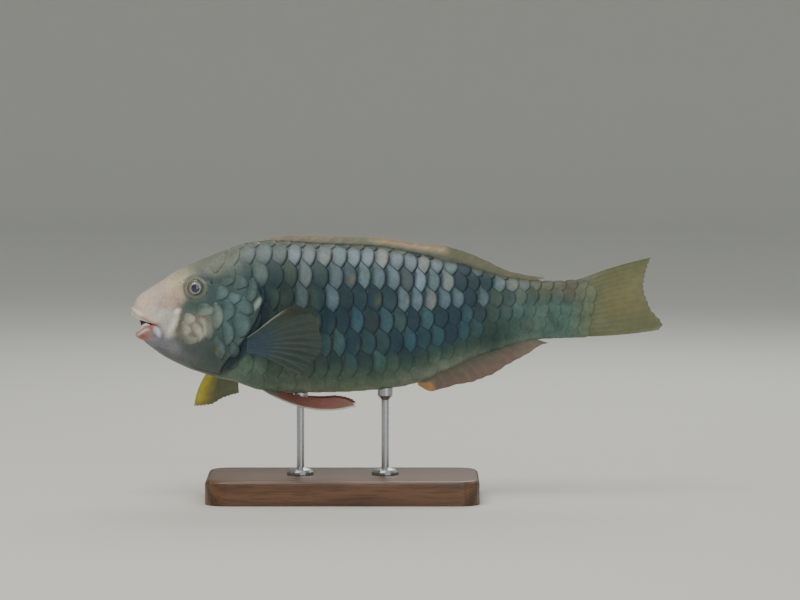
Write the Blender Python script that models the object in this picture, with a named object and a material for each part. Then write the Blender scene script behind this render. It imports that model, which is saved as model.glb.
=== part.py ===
"""A life-size parrotfish on a plain display stand, as solids for Blender 4.5.

The fish swims towards -X with its left flank towards -Y. Lengths below are in millimetres:
"along" runs from the tip of the snout to the tail, "across" is +Y, and "up" is measured from
the body's axis. The function place() turns them into metres in the part's own frame, whose
origin is the middle of the stand's underside.
"""
import math

import bmesh
import bpy
from mathutils import Vector

# The fish as a whole
BODY_LENGTH = 296.8          # snout to the root of the tail fin
AXIS_HEIGHT = 125.0          # the body's axis above the table
STAND_ALONG = 140.0          # the stand's middle lies under this place of the body
GAP = 0.3                    # kept between any two solids that meet
MM = 0.001
REACH = 60.0                 # cutters reach this far across, past both flanks

# Body outline: (along, up) for the back and the belly, (along, half width) for the sides
BACK = [(0, -1.5), (0.7, 2.6), (5, 8.9), (14, 15.2), (34, 27.7), (56, 37.0), (80, 45.0),
        (95, 46.2), (126, 44.5), (160, 43.1), (192, 37.4), (219, 31.0), (250, 22.2),
        (280, 19.6), (300, 21.0)]
BELLY = [(0, -5.0), (1.4, -6.2), (2.6, -9.0), (3.4, -13.4), (4.8, -17.6), (10, -21.8),
         (24, -31.7), (50, -42.9), (68, -47.2), (84, -52.9), (100, -55.2), (135, -54.8),
         (172, -52.1), (187, -49.2), (204, -42.0), (236, -28.8), (270, -19.8), (300, -18.2)]
HALF_WIDTH = [(0, 1.6), (1, 4.2), (5, 7.4), (14, 10.6), (34, 15.8), (56, 20.0), (80, 23.0),
              (110, 24.5), (144, 23.5), (180, 19.0), (219, 13.0), (250, 8.6), (280, 6.0),
              (300, 4.2)]
ROUNDNESS = 2.15             # exponent of the sections: 2 is an ellipse, more is boxier

# Scales: seven rows from the back to the belly on each side, raised in the body's surface
ROWS = 7
SCALE_LENGTH = 8.86
SCALE_START = 62.0
SCALE_DEPTH = 0.45           # a scale's free rear edge above the front of the next one
SCALE_FADE = 16.0            # they rise from nothing to full depth over this length
VALLEY_SHIFT = 0.65          # how far a scale's low front moves towards the edge it starts at
POINT_SHIFT = 0.33           # how far a scale's upper and lower points reach into other rows
POINT_DEPTH = 0.35           # depth of those points, as a share of the scale's
HALF_SCALE = SCALE_LENGTH / 2
SCALE_COLUMNS = round((BODY_LENGTH - SCALE_START) / HALF_SCALE)
QUARTER_ROWS = (0.25, 0.75, ROWS - 0.75, ROWS - 0.25)   # more lines where the body curves most
LINE_ROWS = sorted([k / 2 for k in range(2 * ROWS + 1)] + list(QUARTER_ROWS))
LINES = len(LINE_ROWS) - 1   # the surface's lines run from the back's middle to the belly's

# Head
HEAD_STATIONS = 28
HEAD_CROWDING = 0.6          # how much closer the stations lie at the snout: 0 is evenly
SECTION_SAMPLES = 60
EYE = (43.5, 15.3)           # along, up
EYE_RADIUS = 5.6
EYE_BULGE = 4.0              # half the eyeball's thickness across the head
EYE_DEPTH = 1.5              # the eyeball's middle below the skin
ORBIT_RADIUS = 7.2
ORBIT_HEIGHT = 0.8
ORBIT_WIDTH = 1.8
NOSTRILS = [(33.0, 18.2), (35.7, 20.0)]
NOSTRIL_RADIUS = 0.75
NOSTRIL_DEPTH = 1.5
MOUTH_FRONT = (-1.0, -6.0)
MOUTH_CORNER = (20.0, -10.0)
MOUTH_OPENING = 2.0
MOUTH_REAR = (14.0, 0.5)     # where the slit has narrowed, and half its opening there
MOUTH_END = 0.15             # half the opening at the corner
LIP_OFFSET = 4.6             # the middle of each lip from the line of the mouth
LIP_HEIGHT = 1.0
LIP_WIDTH = 2.0
LIP_LENGTH = 22.0            # the lips end here, and fade over the length below
LIP_FADE = 8.0
BEAK_THICKNESS = 1.6
BEAK_LENGTH = 13.0
BEAK_INNER = {"upper": 1.6, "lower": 4.4}   # its inner face, behind the tip of the snout
BEAK_FRONT = (1.0, 4.4)      # the beak's edge and its root above or below the slit's line
BEAK_REAR = (0.6, 1.8)
SNOUT_MARGIN = -3.0          # cutters for mouth and beak start this far ahead of the snout

# Gill covers and the parting between head and trunk: (up, along) of the free rear edge
GILL_EDGE = [(-60, 58), (-40, 60), (-28, 68), (-12, 80), (0, 86), (7, 87.6), (17, 84.5),
             (22, 79), (30, 77), (60, 76)]
GILL_COVER_FRONT = [(-40, 43), (-30, 47), (-12, 54), (4, 58), (18, 62)]
GILL_COVER_TOP = 17.5
GILL_COVER_BOTTOM = -37.0
GILL_COVER_THICKNESS = 2.4
HEAD_CORE = (30.0, 110.0)    # the flesh under the covers is cut between these places
GILL_RECESS = 1.3            # the trunk's surface below the cover's edge
GILL_RECESS_LENGTH = 9.0
GILL_SLIT = (-46.0, 24.0)    # the free edge runs between these heights
GILL_SLIT_FADE = 8.0
MID_CUT = 150.0
TAIL_CUT = 236.0

# Fins. A height is given as (along, height) for the rim over the back or under the belly
DORSAL_SPINES = 9
DORSAL_RAYS = 10
DORSAL_RANGE = (85.0, 262.0)
DORSAL_LEAN = 12.0           # the folded rays' tips lie this far behind their roots
DORSAL_HEIGHT = [(85, 0.4), (97, 2.4), (115, 4.1), (156, 4.8), (192, 6.4), (209, 8.6),
                 (233, 7.0), (252, 3.2), (274, 1.6)]
DORSAL_SPLIT = 196.0
LEAN_LENGTH = 25.0           # the first rays stand more upright, over this length
LEAN_START = 0.15
MEDIAN_ROOT = 2.6            # thickness at the root, which starts inside the body's outline
MEDIAN_RIM = 0.7
MEDIAN_SUNK = 3.0
MEDIAN_ROWS = 4
MEDIAN_RIDGE = 0.3           # height of a ray on each face
ANAL_RAYS = 12
ANAL_RANGE = (189.0, 264.0)
ANAL_LEAN = 12.0
ANAL_HEIGHT = [(189, 0.8), (199, 9.6), (215, 12.4), (228, 15.2), (238, 15.0), (248, 12.0),
               (262, 8.2), (272, 3.2), (276, 2.6)]
CAUDAL_RAYS = 13
CAUDAL_RIM_ALONG = [(0, 344.0), (0.12, 341.5), (0.42, 338.7), (0.7, 342.5), (0.94, 351.4),
                    (1, 348.5)]
CAUDAL_RIM_UP = [(0, 34.3), (0.5, 12.2), (0.94, -9.9), (1, -12.8)]
CAUDAL_EDGE_BOW = 1.4
CAUDAL_CURL = (8.0, -4.0)    # how far the upper and the lower lobe bend across
CAUDAL_ROWS = 6
CAUDAL_INSET = 0.6           # the root's top and bottom lie this far inside the body's
CAUDAL_ROOT_WIDTH = 0.92     # of the body's width at its end
CAUDAL_ROOT_LENGTH = 0.16    # the fleshy root thins out over this share of the fin
CAUDAL_MEMBRANE = (1.5, 0.6)
CAUDAL_RIDGE = 0.28
PECTORAL_RAYS = 12
PECTORAL_ROOT = 4.0
PELVIC_RAYS = 6
PELVIC_ROOT = 2.6
PAIRED_ROWS = 5
PAIRED_RIM = 0.6
PAIRED_ROOT_LENGTH = 0.22
PAIRED_EXTRA = 0.5           # added at the root, and nothing at the rim
PAIRED_RIDGE = 0.25
RIDGE_TAPER = 0.6            # a ray's ridge loses this share of its height towards the rim

# Paired fins as (along, across, up): the first and last roots, four places of the rim, and how
# far the middle of a ray bows. Pelvic places are given for the right side.
LEFT_PECTORAL = ([(79, -20, -16.5), (78, -19, -26)],
                 [(110.9, -78, 9.3), (121.1, -71, 3.7), (127.3, -59, -18.5), (112.7, -42, -40.1)],
                 (2, 3, 3))
RIGHT_PECTORAL = ([(82, 19, -17), (80, 19, -27)],
                  [(39.6, 48, -68.2), (49.1, 46, -67.4), (60.7, 43, -61.5), (70.0, 38, -58.5)],
                  (-9, 5, 2))
PELVIC = ([(84, 5.5, -50), (91, 4.5, -50)],
          [(149, 13, -62.5), (146.5, 11.5, -60.2), (142, 10, -58.4), (135, 8.5, -57.2)],
          (0, 1, -8))

STAND_SIZE = (180.0, 92.0, 16.0)
STAND_CORNER = 14.0
STAND_EDGE = 3.0
CORNER_SEGMENTS = 6
EDGE_SEGMENTS = 3
ROD_ALONG = {"front": 112.0, "rear": 168.0}
ROD_RADIUS = 2.5
ROD_FOOT_RADIUS = 9.0
ROD_FOOT_HEIGHT = 3.0
ROD_FOOT_EDGE = 1.5
ROD_CUP_RADIUS = 5.0
ROD_CUP_LIP = 4.0            # the cup's full width starts this far under the belly
ROD_CUP_FLARE = 3.0
ROD_REACH = 14.0             # it is drawn into the body, and then cut to fit under it
ROD_SEGMENTS = 16


def clear_scene():
    for item in list(bpy.data.objects):
        bpy.data.objects.remove(item, do_unlink=True)


def new_collection(name):
    collection = bpy.data.collections.new(name)
    bpy.context.scene.collection.children.link(collection)
    return collection


def curve(points):
    """A smooth function through (x, value) points that never overshoots them."""
    xs = [p[0] for p in points]
    ys = [p[1] for p in points]
    steps = [(ys[k + 1] - ys[k]) / (xs[k + 1] - xs[k]) for k in range(len(xs) - 1)]
    slopes = [steps[0]]
    for before, after in zip(steps, steps[1:]):
        same_way = before * after > 0
        slopes.append(2 * before * after / (before + after) if same_way else 0.0)
    slopes.append(steps[-1])

    def value(x):
        x = min(max(x, xs[0]), xs[-1])
        k = max(i for i in range(len(xs) - 1) if xs[i] <= x or i == 0)
        width = xs[k + 1] - xs[k]
        t = (x - xs[k]) / width
        return (ys[k] * (1 + 2 * t) * (1 - t) ** 2 + ys[k + 1] * t * t * (3 - 2 * t)
                + slopes[k] * width * t * (1 - t) ** 2 - slopes[k + 1] * width * t * t * (1 - t))

    return value


back = curve(BACK)
belly = curve(BELLY)
half_width = curve(HALF_WIDTH)
gill_edge = curve(GILL_EDGE)
gill_cover_front = curve(GILL_COVER_FRONT)


def place(along, across, up):
    """A point of the fish in the part's frame, in metres."""
    return Vector(((along - STAND_ALONG) * MM, across * MM, (up + AXIS_HEIGHT) * MM))


def smooth_step(x):
    x = min(max(x, 0.0), 1.0)
    return x * x * (3 - 2 * x)


def half_section(along, offset):
    """Points (across, up) from the back's middle to the belly's, with their arc lengths."""
    top = back(along) + offset
    bottom = belly(along) - offset
    middle = (top + bottom) / 2
    height = (top - bottom) / 2
    width = half_width(along) + offset
    power = 2 / ROUNDNESS
    points = []
    for k in range(SECTION_SAMPLES + 1):
        angle = math.pi * k / SECTION_SAMPLES
        side = math.cos(angle)
        across = width * max(math.sin(angle), 0.0) ** power
        points.append((across, middle + height * math.copysign(abs(side) ** power, side)))
    lengths = [0.0]
    for a, b in zip(points, points[1:]):
        lengths.append(lengths[-1] + math.dist(a, b))
    return points, lengths


def on_section(section, share):
    """The point at a share, 0 to 1, of the way from the back to the belly."""
    points, lengths = section
    target = share * lengths[-1]
    k = 1
    while k < len(lengths) - 1 and lengths[k] < target:
        k += 1
    part = (target - lengths[k - 1]) / (lengths[k] - lengths[k - 1])
    a, b = points[k - 1], points[k]
    return a[0] + (b[0] - a[0]) * part, a[1] + (b[1] - a[1]) * part


def mouth_line(along):
    """Height of the mouth's slit, which rises a little towards the front."""
    part = (along - MOUTH_FRONT[0]) / (MOUTH_CORNER[0] - MOUTH_FRONT[0])
    return MOUTH_FRONT[1] + (MOUTH_CORNER[1] - MOUTH_FRONT[1]) * part


def head_relief(along, up):
    """Height of the rim of the eye socket and of the lips over the plain surface."""
    ring = math.dist((along, up), EYE) - ORBIT_RADIUS
    height = ORBIT_HEIGHT * math.exp(-(ring / ORBIT_WIDTH) ** 2)
    lip_fade = smooth_step((LIP_LENGTH - along) / LIP_FADE)
    for side in (-1, 1):
        distance = up - mouth_line(along) - side * LIP_OFFSET
        height += LIP_HEIGHT * lip_fade * math.exp(-(distance / LIP_WIDTH) ** 2)
    return height


def gill_recess(along, up):
    """Depth of the trunk's surface under the free edge of the gill cover."""
    behind = max(along - gill_edge(up), 0.0)
    low, high = GILL_SLIT
    in_slit = (smooth_step((up - low) / GILL_SLIT_FADE)
               * smooth_step((high - up) / GILL_SLIT_FADE))
    return GILL_RECESS * in_slit * math.exp(-behind / GILL_RECESS_LENGTH)


def head_station(k):
    """Stations along the head, closer together at the snout."""
    part = k / HEAD_STATIONS
    return SCALE_START * (HEAD_CROWDING * part ** 2 + (1 - HEAD_CROWDING) * part)


def body_stations(start, end):
    """(along, scale column) for each ring of the body; a ring of the head has no column."""
    stations = [(head_station(k), None) for k in range(HEAD_STATIONS)]
    stations += [(SCALE_START + HALF_SCALE * i, i) for i in range(SCALE_COLUMNS + 1)]
    return [(start, None)] + [station for station in stations if start < station[0] <= end]


def is_valley(column, line):
    """True where a scale's low front meets this line, and False where its raised edge does."""
    return (column or 0) % 2 == round(LINE_ROWS[line]) % 2


def body_point(along, column, line, offset, under_gill):
    """One point of the right flank's surface, as (along, across, up), with its scales."""
    row = LINE_ROWS[line]
    from_centre = 2 * abs(row - round(row))
    depth = 0.0
    if column is not None:
        fade = smooth_step((along - SCALE_START) / SCALE_FADE)
        valley = is_valley(column, line)
        if from_centre == 1:
            away = math.copysign(POINT_SHIFT / 2, row - round(row))
            row += (away if valley else -away) * fade
        at_centre = 1.0 if valley and 0 < column < SCALE_COLUMNS else 0.0
        depth = (at_centre + (POINT_DEPTH - at_centre) * from_centre) * SCALE_DEPTH * fade
        along -= VALLEY_SHIFT * HALF_SCALE * fade * at_centre * (1 - from_centre)
    across, up = on_section(half_section(along, offset), row / ROWS)
    inward = depth - head_relief(along, up)
    if under_gill:
        inward += gill_recess(along, up)
    middle = (back(along) + belly(along)) / 2
    outward = Vector((across / max(half_width(along), 1) ** 2,
                      (up - middle) / max((back(along) - belly(along)) / 2, 1) ** 2))
    outward.normalize()
    if line in (0, LINES):
        outward = Vector((0, 1 if line == 0 else -1))
    return along, across - outward.x * inward, up - outward.y * inward


def body_solid(name, offset=0.0, under_gill=False, start=0.0, end=BODY_LENGTH + 1):
    """The whole body, or a length of it, as one closed solid, offset outwards if asked."""
    mesh = bmesh.new()
    rings = []
    stations = body_stations(start, end)
    for number, (along, column) in enumerate(stations):
        right = [body_point(along, column, line, offset, under_gill)
                 for line in range(LINES + 1)]
        if offset > 0 and number in (0, len(stations) - 1):
            push = offset if number else -offset
            right = [(a + push, y, z) for a, y, z in right]
        left = [(a, -y, z) for a, y, z in reversed(right[1:-1])]
        rings.append([mesh.verts.new(place(*point)) for point in right + left])
    count = 2 * LINES
    for number in range(len(rings) - 1):
        ring, following = rings[number], rings[number + 1]
        column = stations[number][1] or 0
        for j in range(count):
            k = (j + 1) % count
            line = j if j <= LINES else count - j
            next_line = k if k <= LINES else count - k
            offsets = [abs(LINE_ROWS[n] - round(LINE_ROWS[n])) for n in (line, next_line)]
            centre_line = line if offsets[0] < offsets[1] else next_line
            quad = [ring[j], ring[k], following[k], following[j]]
            if is_valley(column, centre_line) == (line == centre_line):
                mesh.faces.new((quad[0], quad[1], quad[2]))
                mesh.faces.new((quad[0], quad[2], quad[3]))
            else:
                mesh.faces.new((quad[1], quad[2], quad[3]))
                mesh.faces.new((quad[1], quad[3], quad[0]))
    mesh.faces.new(reversed(rings[0]))
    mesh.faces.new(rings[-1])
    return finish_mesh(name, mesh)


def finish_mesh(name, mesh):
    """Make an object of a bmesh, with its faces pointing out."""
    bmesh.ops.recalc_face_normals(mesh, faces=mesh.faces)
    if mesh.calc_volume(signed=True) < 0:
        bmesh.ops.reverse_faces(mesh, faces=mesh.faces)
    data = bpy.data.meshes.new(name)
    mesh.to_mesh(data)
    mesh.free()
    return bpy.data.objects.new(name, data)


def side_prism(name, outline, near=-REACH, far=REACH):
    """A closed outline of (along, up) points, drawn out across the fish from near to far."""
    mesh = bmesh.new()
    front = [mesh.verts.new(place(a, near, z)) for a, z in outline]
    rear = [mesh.verts.new(place(a, far, z)) for a, z in outline]
    mesh.faces.new(front)
    mesh.faces.new(reversed(rear))
    for k in range(len(outline)):
        n = (k + 1) % len(outline)
        mesh.faces.new((front[k], rear[k], rear[n], front[n]))
    return finish_mesh(name, mesh)


def combine(target, other, operation):
    """Apply one Boolean of other to target, and remove other."""
    for item in (target, other):
        if item.name not in cutters.objects and item.name not in parts.objects:
            cutters.objects.link(item)
    modifier = target.modifiers.new("boolean", "BOOLEAN")
    modifier.operation = operation
    modifier.solver = "EXACT"
    modifier.object = other
    graph = bpy.context.evaluated_depsgraph_get()
    data = bpy.data.meshes.new_from_object(target.evaluated_get(graph))
    target.modifiers.clear()
    target.data = data
    bpy.data.objects.remove(other)
    return target


def keep_largest(item):
    """Keep only the largest closed surface of a mesh, and weld what nearly touches in it."""
    mesh = bmesh.new()
    mesh.from_mesh(item.data)
    bmesh.ops.remove_doubles(mesh, verts=mesh.verts, dist=2e-6)
    bmesh.ops.dissolve_degenerate(mesh, edges=mesh.edges, dist=1e-6)
    bmesh.ops.triangulate(mesh, faces=mesh.faces)
    islands = []
    unseen = set(mesh.faces)
    while unseen:
        island = [unseen.pop()]
        for face in island:
            for edge in face.edges:
                for other in edge.link_faces:
                    if other in unseen:
                        unseen.discard(other)
                        island.append(other)
        islands.append(island)

    def size(island):
        return sum(face.calc_area() for face in island)

    largest = max(islands, key=size)
    doomed = [face for island in islands if island is not largest for face in island]
    bmesh.ops.delete(mesh, geom=doomed, context="FACES")
    mesh.to_mesh(item.data)
    mesh.free()
    return item


def material(name, colour, roughness, metallic=0.0):
    """A Principled material of one sRGB hex colour."""
    linear = []
    for k in (0, 2, 4):
        part = int(colour[k:k + 2], 16) / 255
        linear.append(part / 12.92 if part <= 0.04045 else ((part + 0.055) / 1.055) ** 2.4)
    item = bpy.data.materials.new(name)
    item.use_nodes = True
    shader = item.node_tree.nodes["Principled BSDF"]
    shader.inputs["Base Color"].default_value = (*linear, 1)
    shader.inputs["Roughness"].default_value = roughness
    shader.inputs["Metallic"].default_value = metallic
    return item


def finish(item, name, look, smooth_angle=35):
    """Name a finished sub-part, give it its material, and put it with the other parts."""
    item.name = name
    item.data.name = name
    item.data.materials.clear()
    item.data.materials.append(look)
    item.data.shade_smooth()
    item.data.set_sharp_from_angle(angle=math.radians(smooth_angle))
    if item.name in cutters.objects:
        cutters.objects.unlink(item)
    parts.objects.link(item)
    return item


def edge_between(shift):
    """The parting line between head and trunk, moved along the fish by shift."""
    heights = [-REACH + 2.5 * k for k in range(49)]
    return [(gill_edge(up) + shift, up) for up in heights]


def region(front, rear):
    """A prism between two lines that both run upwards."""
    return side_prism("region", front + rear[::-1])


def upright(along):
    return [(along, -REACH - 10), (along, REACH + 10)]


def gill_cover_outline(grow):
    """The gill cover's outline on the flank, grown by a margin on every side but the rear."""
    low = GILL_COVER_BOTTOM - grow
    high = GILL_COVER_TOP + grow
    heights = [low + (high - low) * k / 10 for k in range(11)]
    front = [(gill_cover_front(up) - grow, up) for up in heights]
    rear_margin = 20 if grow else -GAP / 2
    rear = [(gill_edge(up) + rear_margin, up) for up in heights]
    return front + rear[::-1]


def beak_outline(jaw, grow):
    """The strip of beak that shows between a lip and the mouth's slit."""
    side = 1 if jaw == "upper" else -1
    start, end = SNOUT_MARGIN, BEAK_LENGTH + grow
    near_front = mouth_line(start) + side * (BEAK_FRONT[0] - grow)
    near_end = mouth_line(end) + side * (BEAK_REAR[0] - grow)
    far_front = mouth_line(start) + side * (BEAK_FRONT[1] + grow)
    far_end = mouth_line(end) + side * (BEAK_REAR[1] + grow)
    return [(start, near_front), (end, near_end), (end, far_end), (start, far_front)]


def mouth_outline():
    """The slit of the slightly open mouth, closing towards its corner."""
    places = [(SNOUT_MARGIN, MOUTH_OPENING / 2), MOUTH_REAR, (MOUTH_CORNER[0], MOUTH_END)]
    low = [(along, mouth_line(along) - half) for along, half in places]
    high = [(along, mouth_line(along) + half) for along, half in places]
    return low + high[::-1]


def skin_across(along, up):
    """Half width of the plain body at a place of its side."""
    top, bottom = back(along), belly(along)
    level = abs((up - (top + bottom) / 2) / ((top - bottom) / 2))
    return half_width(along) * (1 - min(level, 1) ** ROUNDNESS) ** (1 / ROUNDNESS)


def eyeball(name, side, grow=0.0):
    """A flattened ball at the eye's place; side is -1 on the left and 1 on the right."""
    mesh = bmesh.new()
    bmesh.ops.create_uvsphere(mesh, u_segments=16, v_segments=10, radius=1.0)
    centre = skin_across(*EYE) - EYE_DEPTH
    for vertex in mesh.verts:
        x, y, z = vertex.co
        vertex.co = place(EYE[0] + x * (EYE_RADIUS + grow), side * centre + z * (EYE_BULGE + grow),
                          EYE[1] + y * (EYE_RADIUS + grow))
    return finish_mesh(name, mesh)


def nostril_pit(place_on_side, side):
    """A short round pit in the skin before the eye."""
    along, up = place_on_side
    mesh = bmesh.new()
    bmesh.ops.create_cone(mesh, cap_ends=True, segments=10, radius1=NOSTRIL_RADIUS,
                          radius2=NOSTRIL_RADIUS, depth=2 * NOSTRIL_DEPTH)
    for vertex in mesh.verts:
        x, y, z = vertex.co
        vertex.co = place(along + x, side * skin_across(along, up) + z, up + y)
    return finish_mesh("nostril_pit", mesh)


def make_head(skin):
    """The head with its mouth, nostrils and eye sockets, and the places of beak and covers."""
    head = combine(body_solid("head"), region(upright(-10), edge_between(-GAP / 2)), "INTERSECT")
    for side, name in ((-1, "gill_cover_left"), (1, "gill_cover_right")):
        near, far = sorted((side * 1.0, side * REACH))
        cover = combine(body_solid(name), side_prism("outline", gill_cover_outline(0), near, far),
                        "INTERSECT")
        start, end = HEAD_CORE
        core = body_solid("core", -GILL_COVER_THICKNESS, start=start, end=end)
        finish(keep_largest(combine(cover, core, "DIFFERENCE")), name, skin["cover"])
        pocket = side_prism("pocket", gill_cover_outline(GAP), near, far)
        core = body_solid("core", -GILL_COVER_THICKNESS - GAP, start=start, end=end)
        head = combine(head, combine(pocket, core, "DIFFERENCE"), "DIFFERENCE")
        head = combine(head, eyeball("socket", side, GAP), "DIFFERENCE")
        finish(eyeball("eye", side), "eye_left" if side < 0 else "eye_right", skin["eye"])
        for spot in NOSTRILS:
            head = combine(head, nostril_pit(spot, side), "DIFFERENCE")
    for jaw, inner in BEAK_INNER.items():
        beak = combine(body_solid("beak"), side_prism("strip", beak_outline(jaw, 0)), "INTERSECT")
        core = body_solid("core", -BEAK_THICKNESS, start=inner, end=HEAD_CORE[0])
        finish(keep_largest(combine(beak, core, "DIFFERENCE")), "beak_" + jaw, skin["beak"])
        core = body_solid("core", -BEAK_THICKNESS - GAP, start=inner + GAP, end=HEAD_CORE[0])
        bed = combine(side_prism("strip", beak_outline(jaw, GAP)), core, "DIFFERENCE")
        head = combine(head, bed, "DIFFERENCE")
    head = combine(head, side_prism("mouth", mouth_outline()), "DIFFERENCE")
    finish(keep_largest(head), "head", skin["head"])


def make_trunk(skin):
    """The body behind the gill covers in three lengths."""
    cuts = [("torso_front", edge_between(GAP / 2), upright(MID_CUT - GAP / 2)),
            ("torso_rear", upright(MID_CUT + GAP / 2), upright(TAIL_CUT - GAP / 2)),
            ("tail_stalk", upright(TAIL_CUT + GAP / 2), upright(BODY_LENGTH + 20))]
    for name, front, rear in cuts:
        length = combine(body_solid(name, under_gill=True, start=45), region(front, rear),
                         "INTERSECT")
        finish(keep_largest(length), name, skin["flank"])


def fin_solid(name, rays, rows, point, thickness, ray_height):
    """A thin closed fin with its rays as ridges on both faces.

    point(u, v) gives (along, across, up), with u from the first ray to the last and v from the
    root to the rim; thickness(u, v) is the membrane's. Both faces are split alike.
    """
    columns = 2 * (rays - 1) + 1
    faces = {}
    mesh = bmesh.new()
    for i in range(columns):
        for j in range(rows + 1):
            u, v = i / (columns - 1), j / rows
            step = 1e-3
            u0, u1 = max(u - step, 0), min(u + step, 1)
            v0, v1 = max(v - step, 0), min(v + step, 1)
            ahead = Vector(point(u1, v)) - Vector(point(u0, v))
            outward = Vector(point(u, v1)) - Vector(point(u, v0))
            normal = ahead.cross(outward).normalized()
            ridge = ray_height * (1 - RIDGE_TAPER * v) if i % 2 == 0 else 0.0
            half = thickness(u, v) / 2 + ridge
            middle = Vector(point(u, v))
            for side in (-1, 1):
                corner = middle + normal * half * side
                faces[i, j, side] = mesh.verts.new(place(*corner))
    for i in range(columns - 1):
        for j in range(rows):
            for side in (-1, 1):
                a, b = faces[i, j, side], faces[i + 1, j, side]
                c, d = faces[i + 1, j + 1, side], faces[i, j + 1, side]
                halves = [(a, b, c), (a, c, d)] if i % 2 else [(a, b, d), (b, c, d)]
                for half in halves:
                    mesh.faces.new(half if side > 0 else half[::-1])
    border = [(i, 0) for i in range(columns)] + [(columns - 1, j) for j in range(1, rows + 1)]
    border += [(i, rows) for i in range(columns - 2, -1, -1)]
    border += [(0, j) for j in range(rows - 1, 0, -1)]
    for here, there in zip(border, border[1:] + border[:1]):
        a, b = faces[(*here, -1)], faces[(*there, -1)]
        c, d = faces[(*there, 1)], faces[(*here, 1)]
        mesh.faces.new((a, b, c))
        mesh.faces.new((a, c, d))
    return finish_mesh(name, mesh)


def cut_to_body(item):
    """Cut a fin's root back to just clear of the body's surface."""
    return keep_largest(combine(item, body_solid("envelope", GAP), "DIFFERENCE"))


def median_fin(name, rays, span, lean, height, side, look):
    """A fin on the back (side 1) or the belly (side -1), its rays leaning back."""
    line = back if side > 0 else belly
    tall = curve(height)
    first_root = height[0][0]

    def point(u, v):
        root = span[0] + (span[1] - span[0]) * u
        tip = root + lean * smooth_step((root - first_root) / LEAN_LENGTH + LEAN_START)
        base_up = line(root) - side * MEDIAN_SUNK
        rim_up = line(tip) + side * tall(tip)
        return (root + (tip - root) * v, 0.0, base_up + (rim_up - base_up) * v)

    def thickness(u, v):
        return MEDIAN_ROOT + (MEDIAN_RIM - MEDIAN_ROOT) * v

    fin = fin_solid(name, rays, MEDIAN_ROWS, point, thickness, MEDIAN_RIDGE)
    finish(cut_to_body(fin), name, look)


def make_median_fins(look):
    median_fin("dorsal_fin_spiny", DORSAL_SPINES, (DORSAL_RANGE[0], DORSAL_SPLIT - GAP / 2),
               DORSAL_LEAN, DORSAL_HEIGHT, 1, look["dorsal"])
    median_fin("dorsal_fin_soft", DORSAL_RAYS, (DORSAL_SPLIT + GAP / 2, DORSAL_RANGE[1]),
               DORSAL_LEAN, DORSAL_HEIGHT, 1, look["dorsal"])
    median_fin("anal_fin", ANAL_RAYS, ANAL_RANGE, ANAL_LEAN, ANAL_HEIGHT, -1, look["red"])


def make_caudal_fin(look):
    """The tail fin: a fleshy root as wide as the body's end, then a thin fan of rays."""
    rim_along, rim_up = curve(CAUDAL_RIM_ALONG), curve(CAUDAL_RIM_UP)
    start = BODY_LENGTH + GAP
    top, bottom = back(BODY_LENGTH) - CAUDAL_INSET, belly(BODY_LENGTH) + CAUDAL_INSET

    def point(u, v):
        root_up = top + (bottom - top) * u
        curl = CAUDAL_CURL[0] * (1 - u) ** 2 + CAUDAL_CURL[1] * u ** 2
        bow = CAUDAL_EDGE_BOW * (1 - 2 * u) * 4 * v * (1 - v)
        return (start + (rim_along(u) - start) * v, curl * v * v,
                root_up + (rim_up(u) - root_up) * v + bow)

    def thickness(u, v):
        roundness = math.sqrt(max(1 - (2 * u - 1) ** 2, 0.0))
        root = 2 * half_width(BODY_LENGTH) * CAUDAL_ROOT_WIDTH * roundness
        thin = CAUDAL_MEMBRANE[0] + (CAUDAL_MEMBRANE[1] - CAUDAL_MEMBRANE[0]) * v
        return thin + max(root - thin, 0.0) * math.exp(-(v / CAUDAL_ROOT_LENGTH) ** 2)

    fin = fin_solid("caudal_fin", CAUDAL_RAYS, CAUDAL_ROWS, point, thickness, CAUDAL_RIDGE)
    finish(keep_largest(fin), "caudal_fin", look["yellow"])


def paired_fin(name, rays, roots, tips, bend, look, root_thickness):
    """A fin fanned between a first and a last root, with its rim through four ray tips.

    bend is (along, across, up): how far a ray's middle bows, most on the first ray.
    """
    root_lines = [curve([(0, roots[0][k]), (1, roots[1][k])]) for k in range(3)]
    tip_lines = [curve([(n / 3, tip[k]) for n, tip in enumerate(tips)]) for k in range(3)]

    def point(u, v):
        bow = 4 * v * (1 - v) * (1 - 0.6 * u)
        return tuple(root_lines[k](u) + (tip_lines[k](u) - root_lines[k](u)) * v + bend[k] * bow
                     for k in range(3))

    def thickness(u, v):
        root = (root_thickness - PAIRED_RIM) * math.exp(-(v / PAIRED_ROOT_LENGTH) ** 2)
        return PAIRED_RIM + root + PAIRED_EXTRA * (1 - v)

    fin = fin_solid(name, rays, PAIRED_ROWS, point, thickness, PAIRED_RIDGE)
    finish(cut_to_body(fin), name, look)


def make_paired_fins(look):
    """Pectorals, one spread back and one swung down and forwards, and the folded pelvics."""
    paired_fin("pectoral_fin_left", PECTORAL_RAYS, *LEFT_PECTORAL, look["pectoral"],
               PECTORAL_ROOT)
    paired_fin("pectoral_fin_right", PECTORAL_RAYS, *RIGHT_PECTORAL, look["pectoral"],
               PECTORAL_ROOT)
    for side, name in ((-1, "pelvic_fin_left"), (1, "pelvic_fin_right")):
        roots, tips, (bend_along, bend_across, bend_up) = PELVIC
        roots = [(along, side * across, up) for along, across, up in roots]
        tips = [(along, side * across, up) for along, across, up in tips]
        paired_fin(name, PELVIC_RAYS, roots, tips, (bend_along, side * bend_across, bend_up),
                   look["red"], PELVIC_ROOT)


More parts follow.
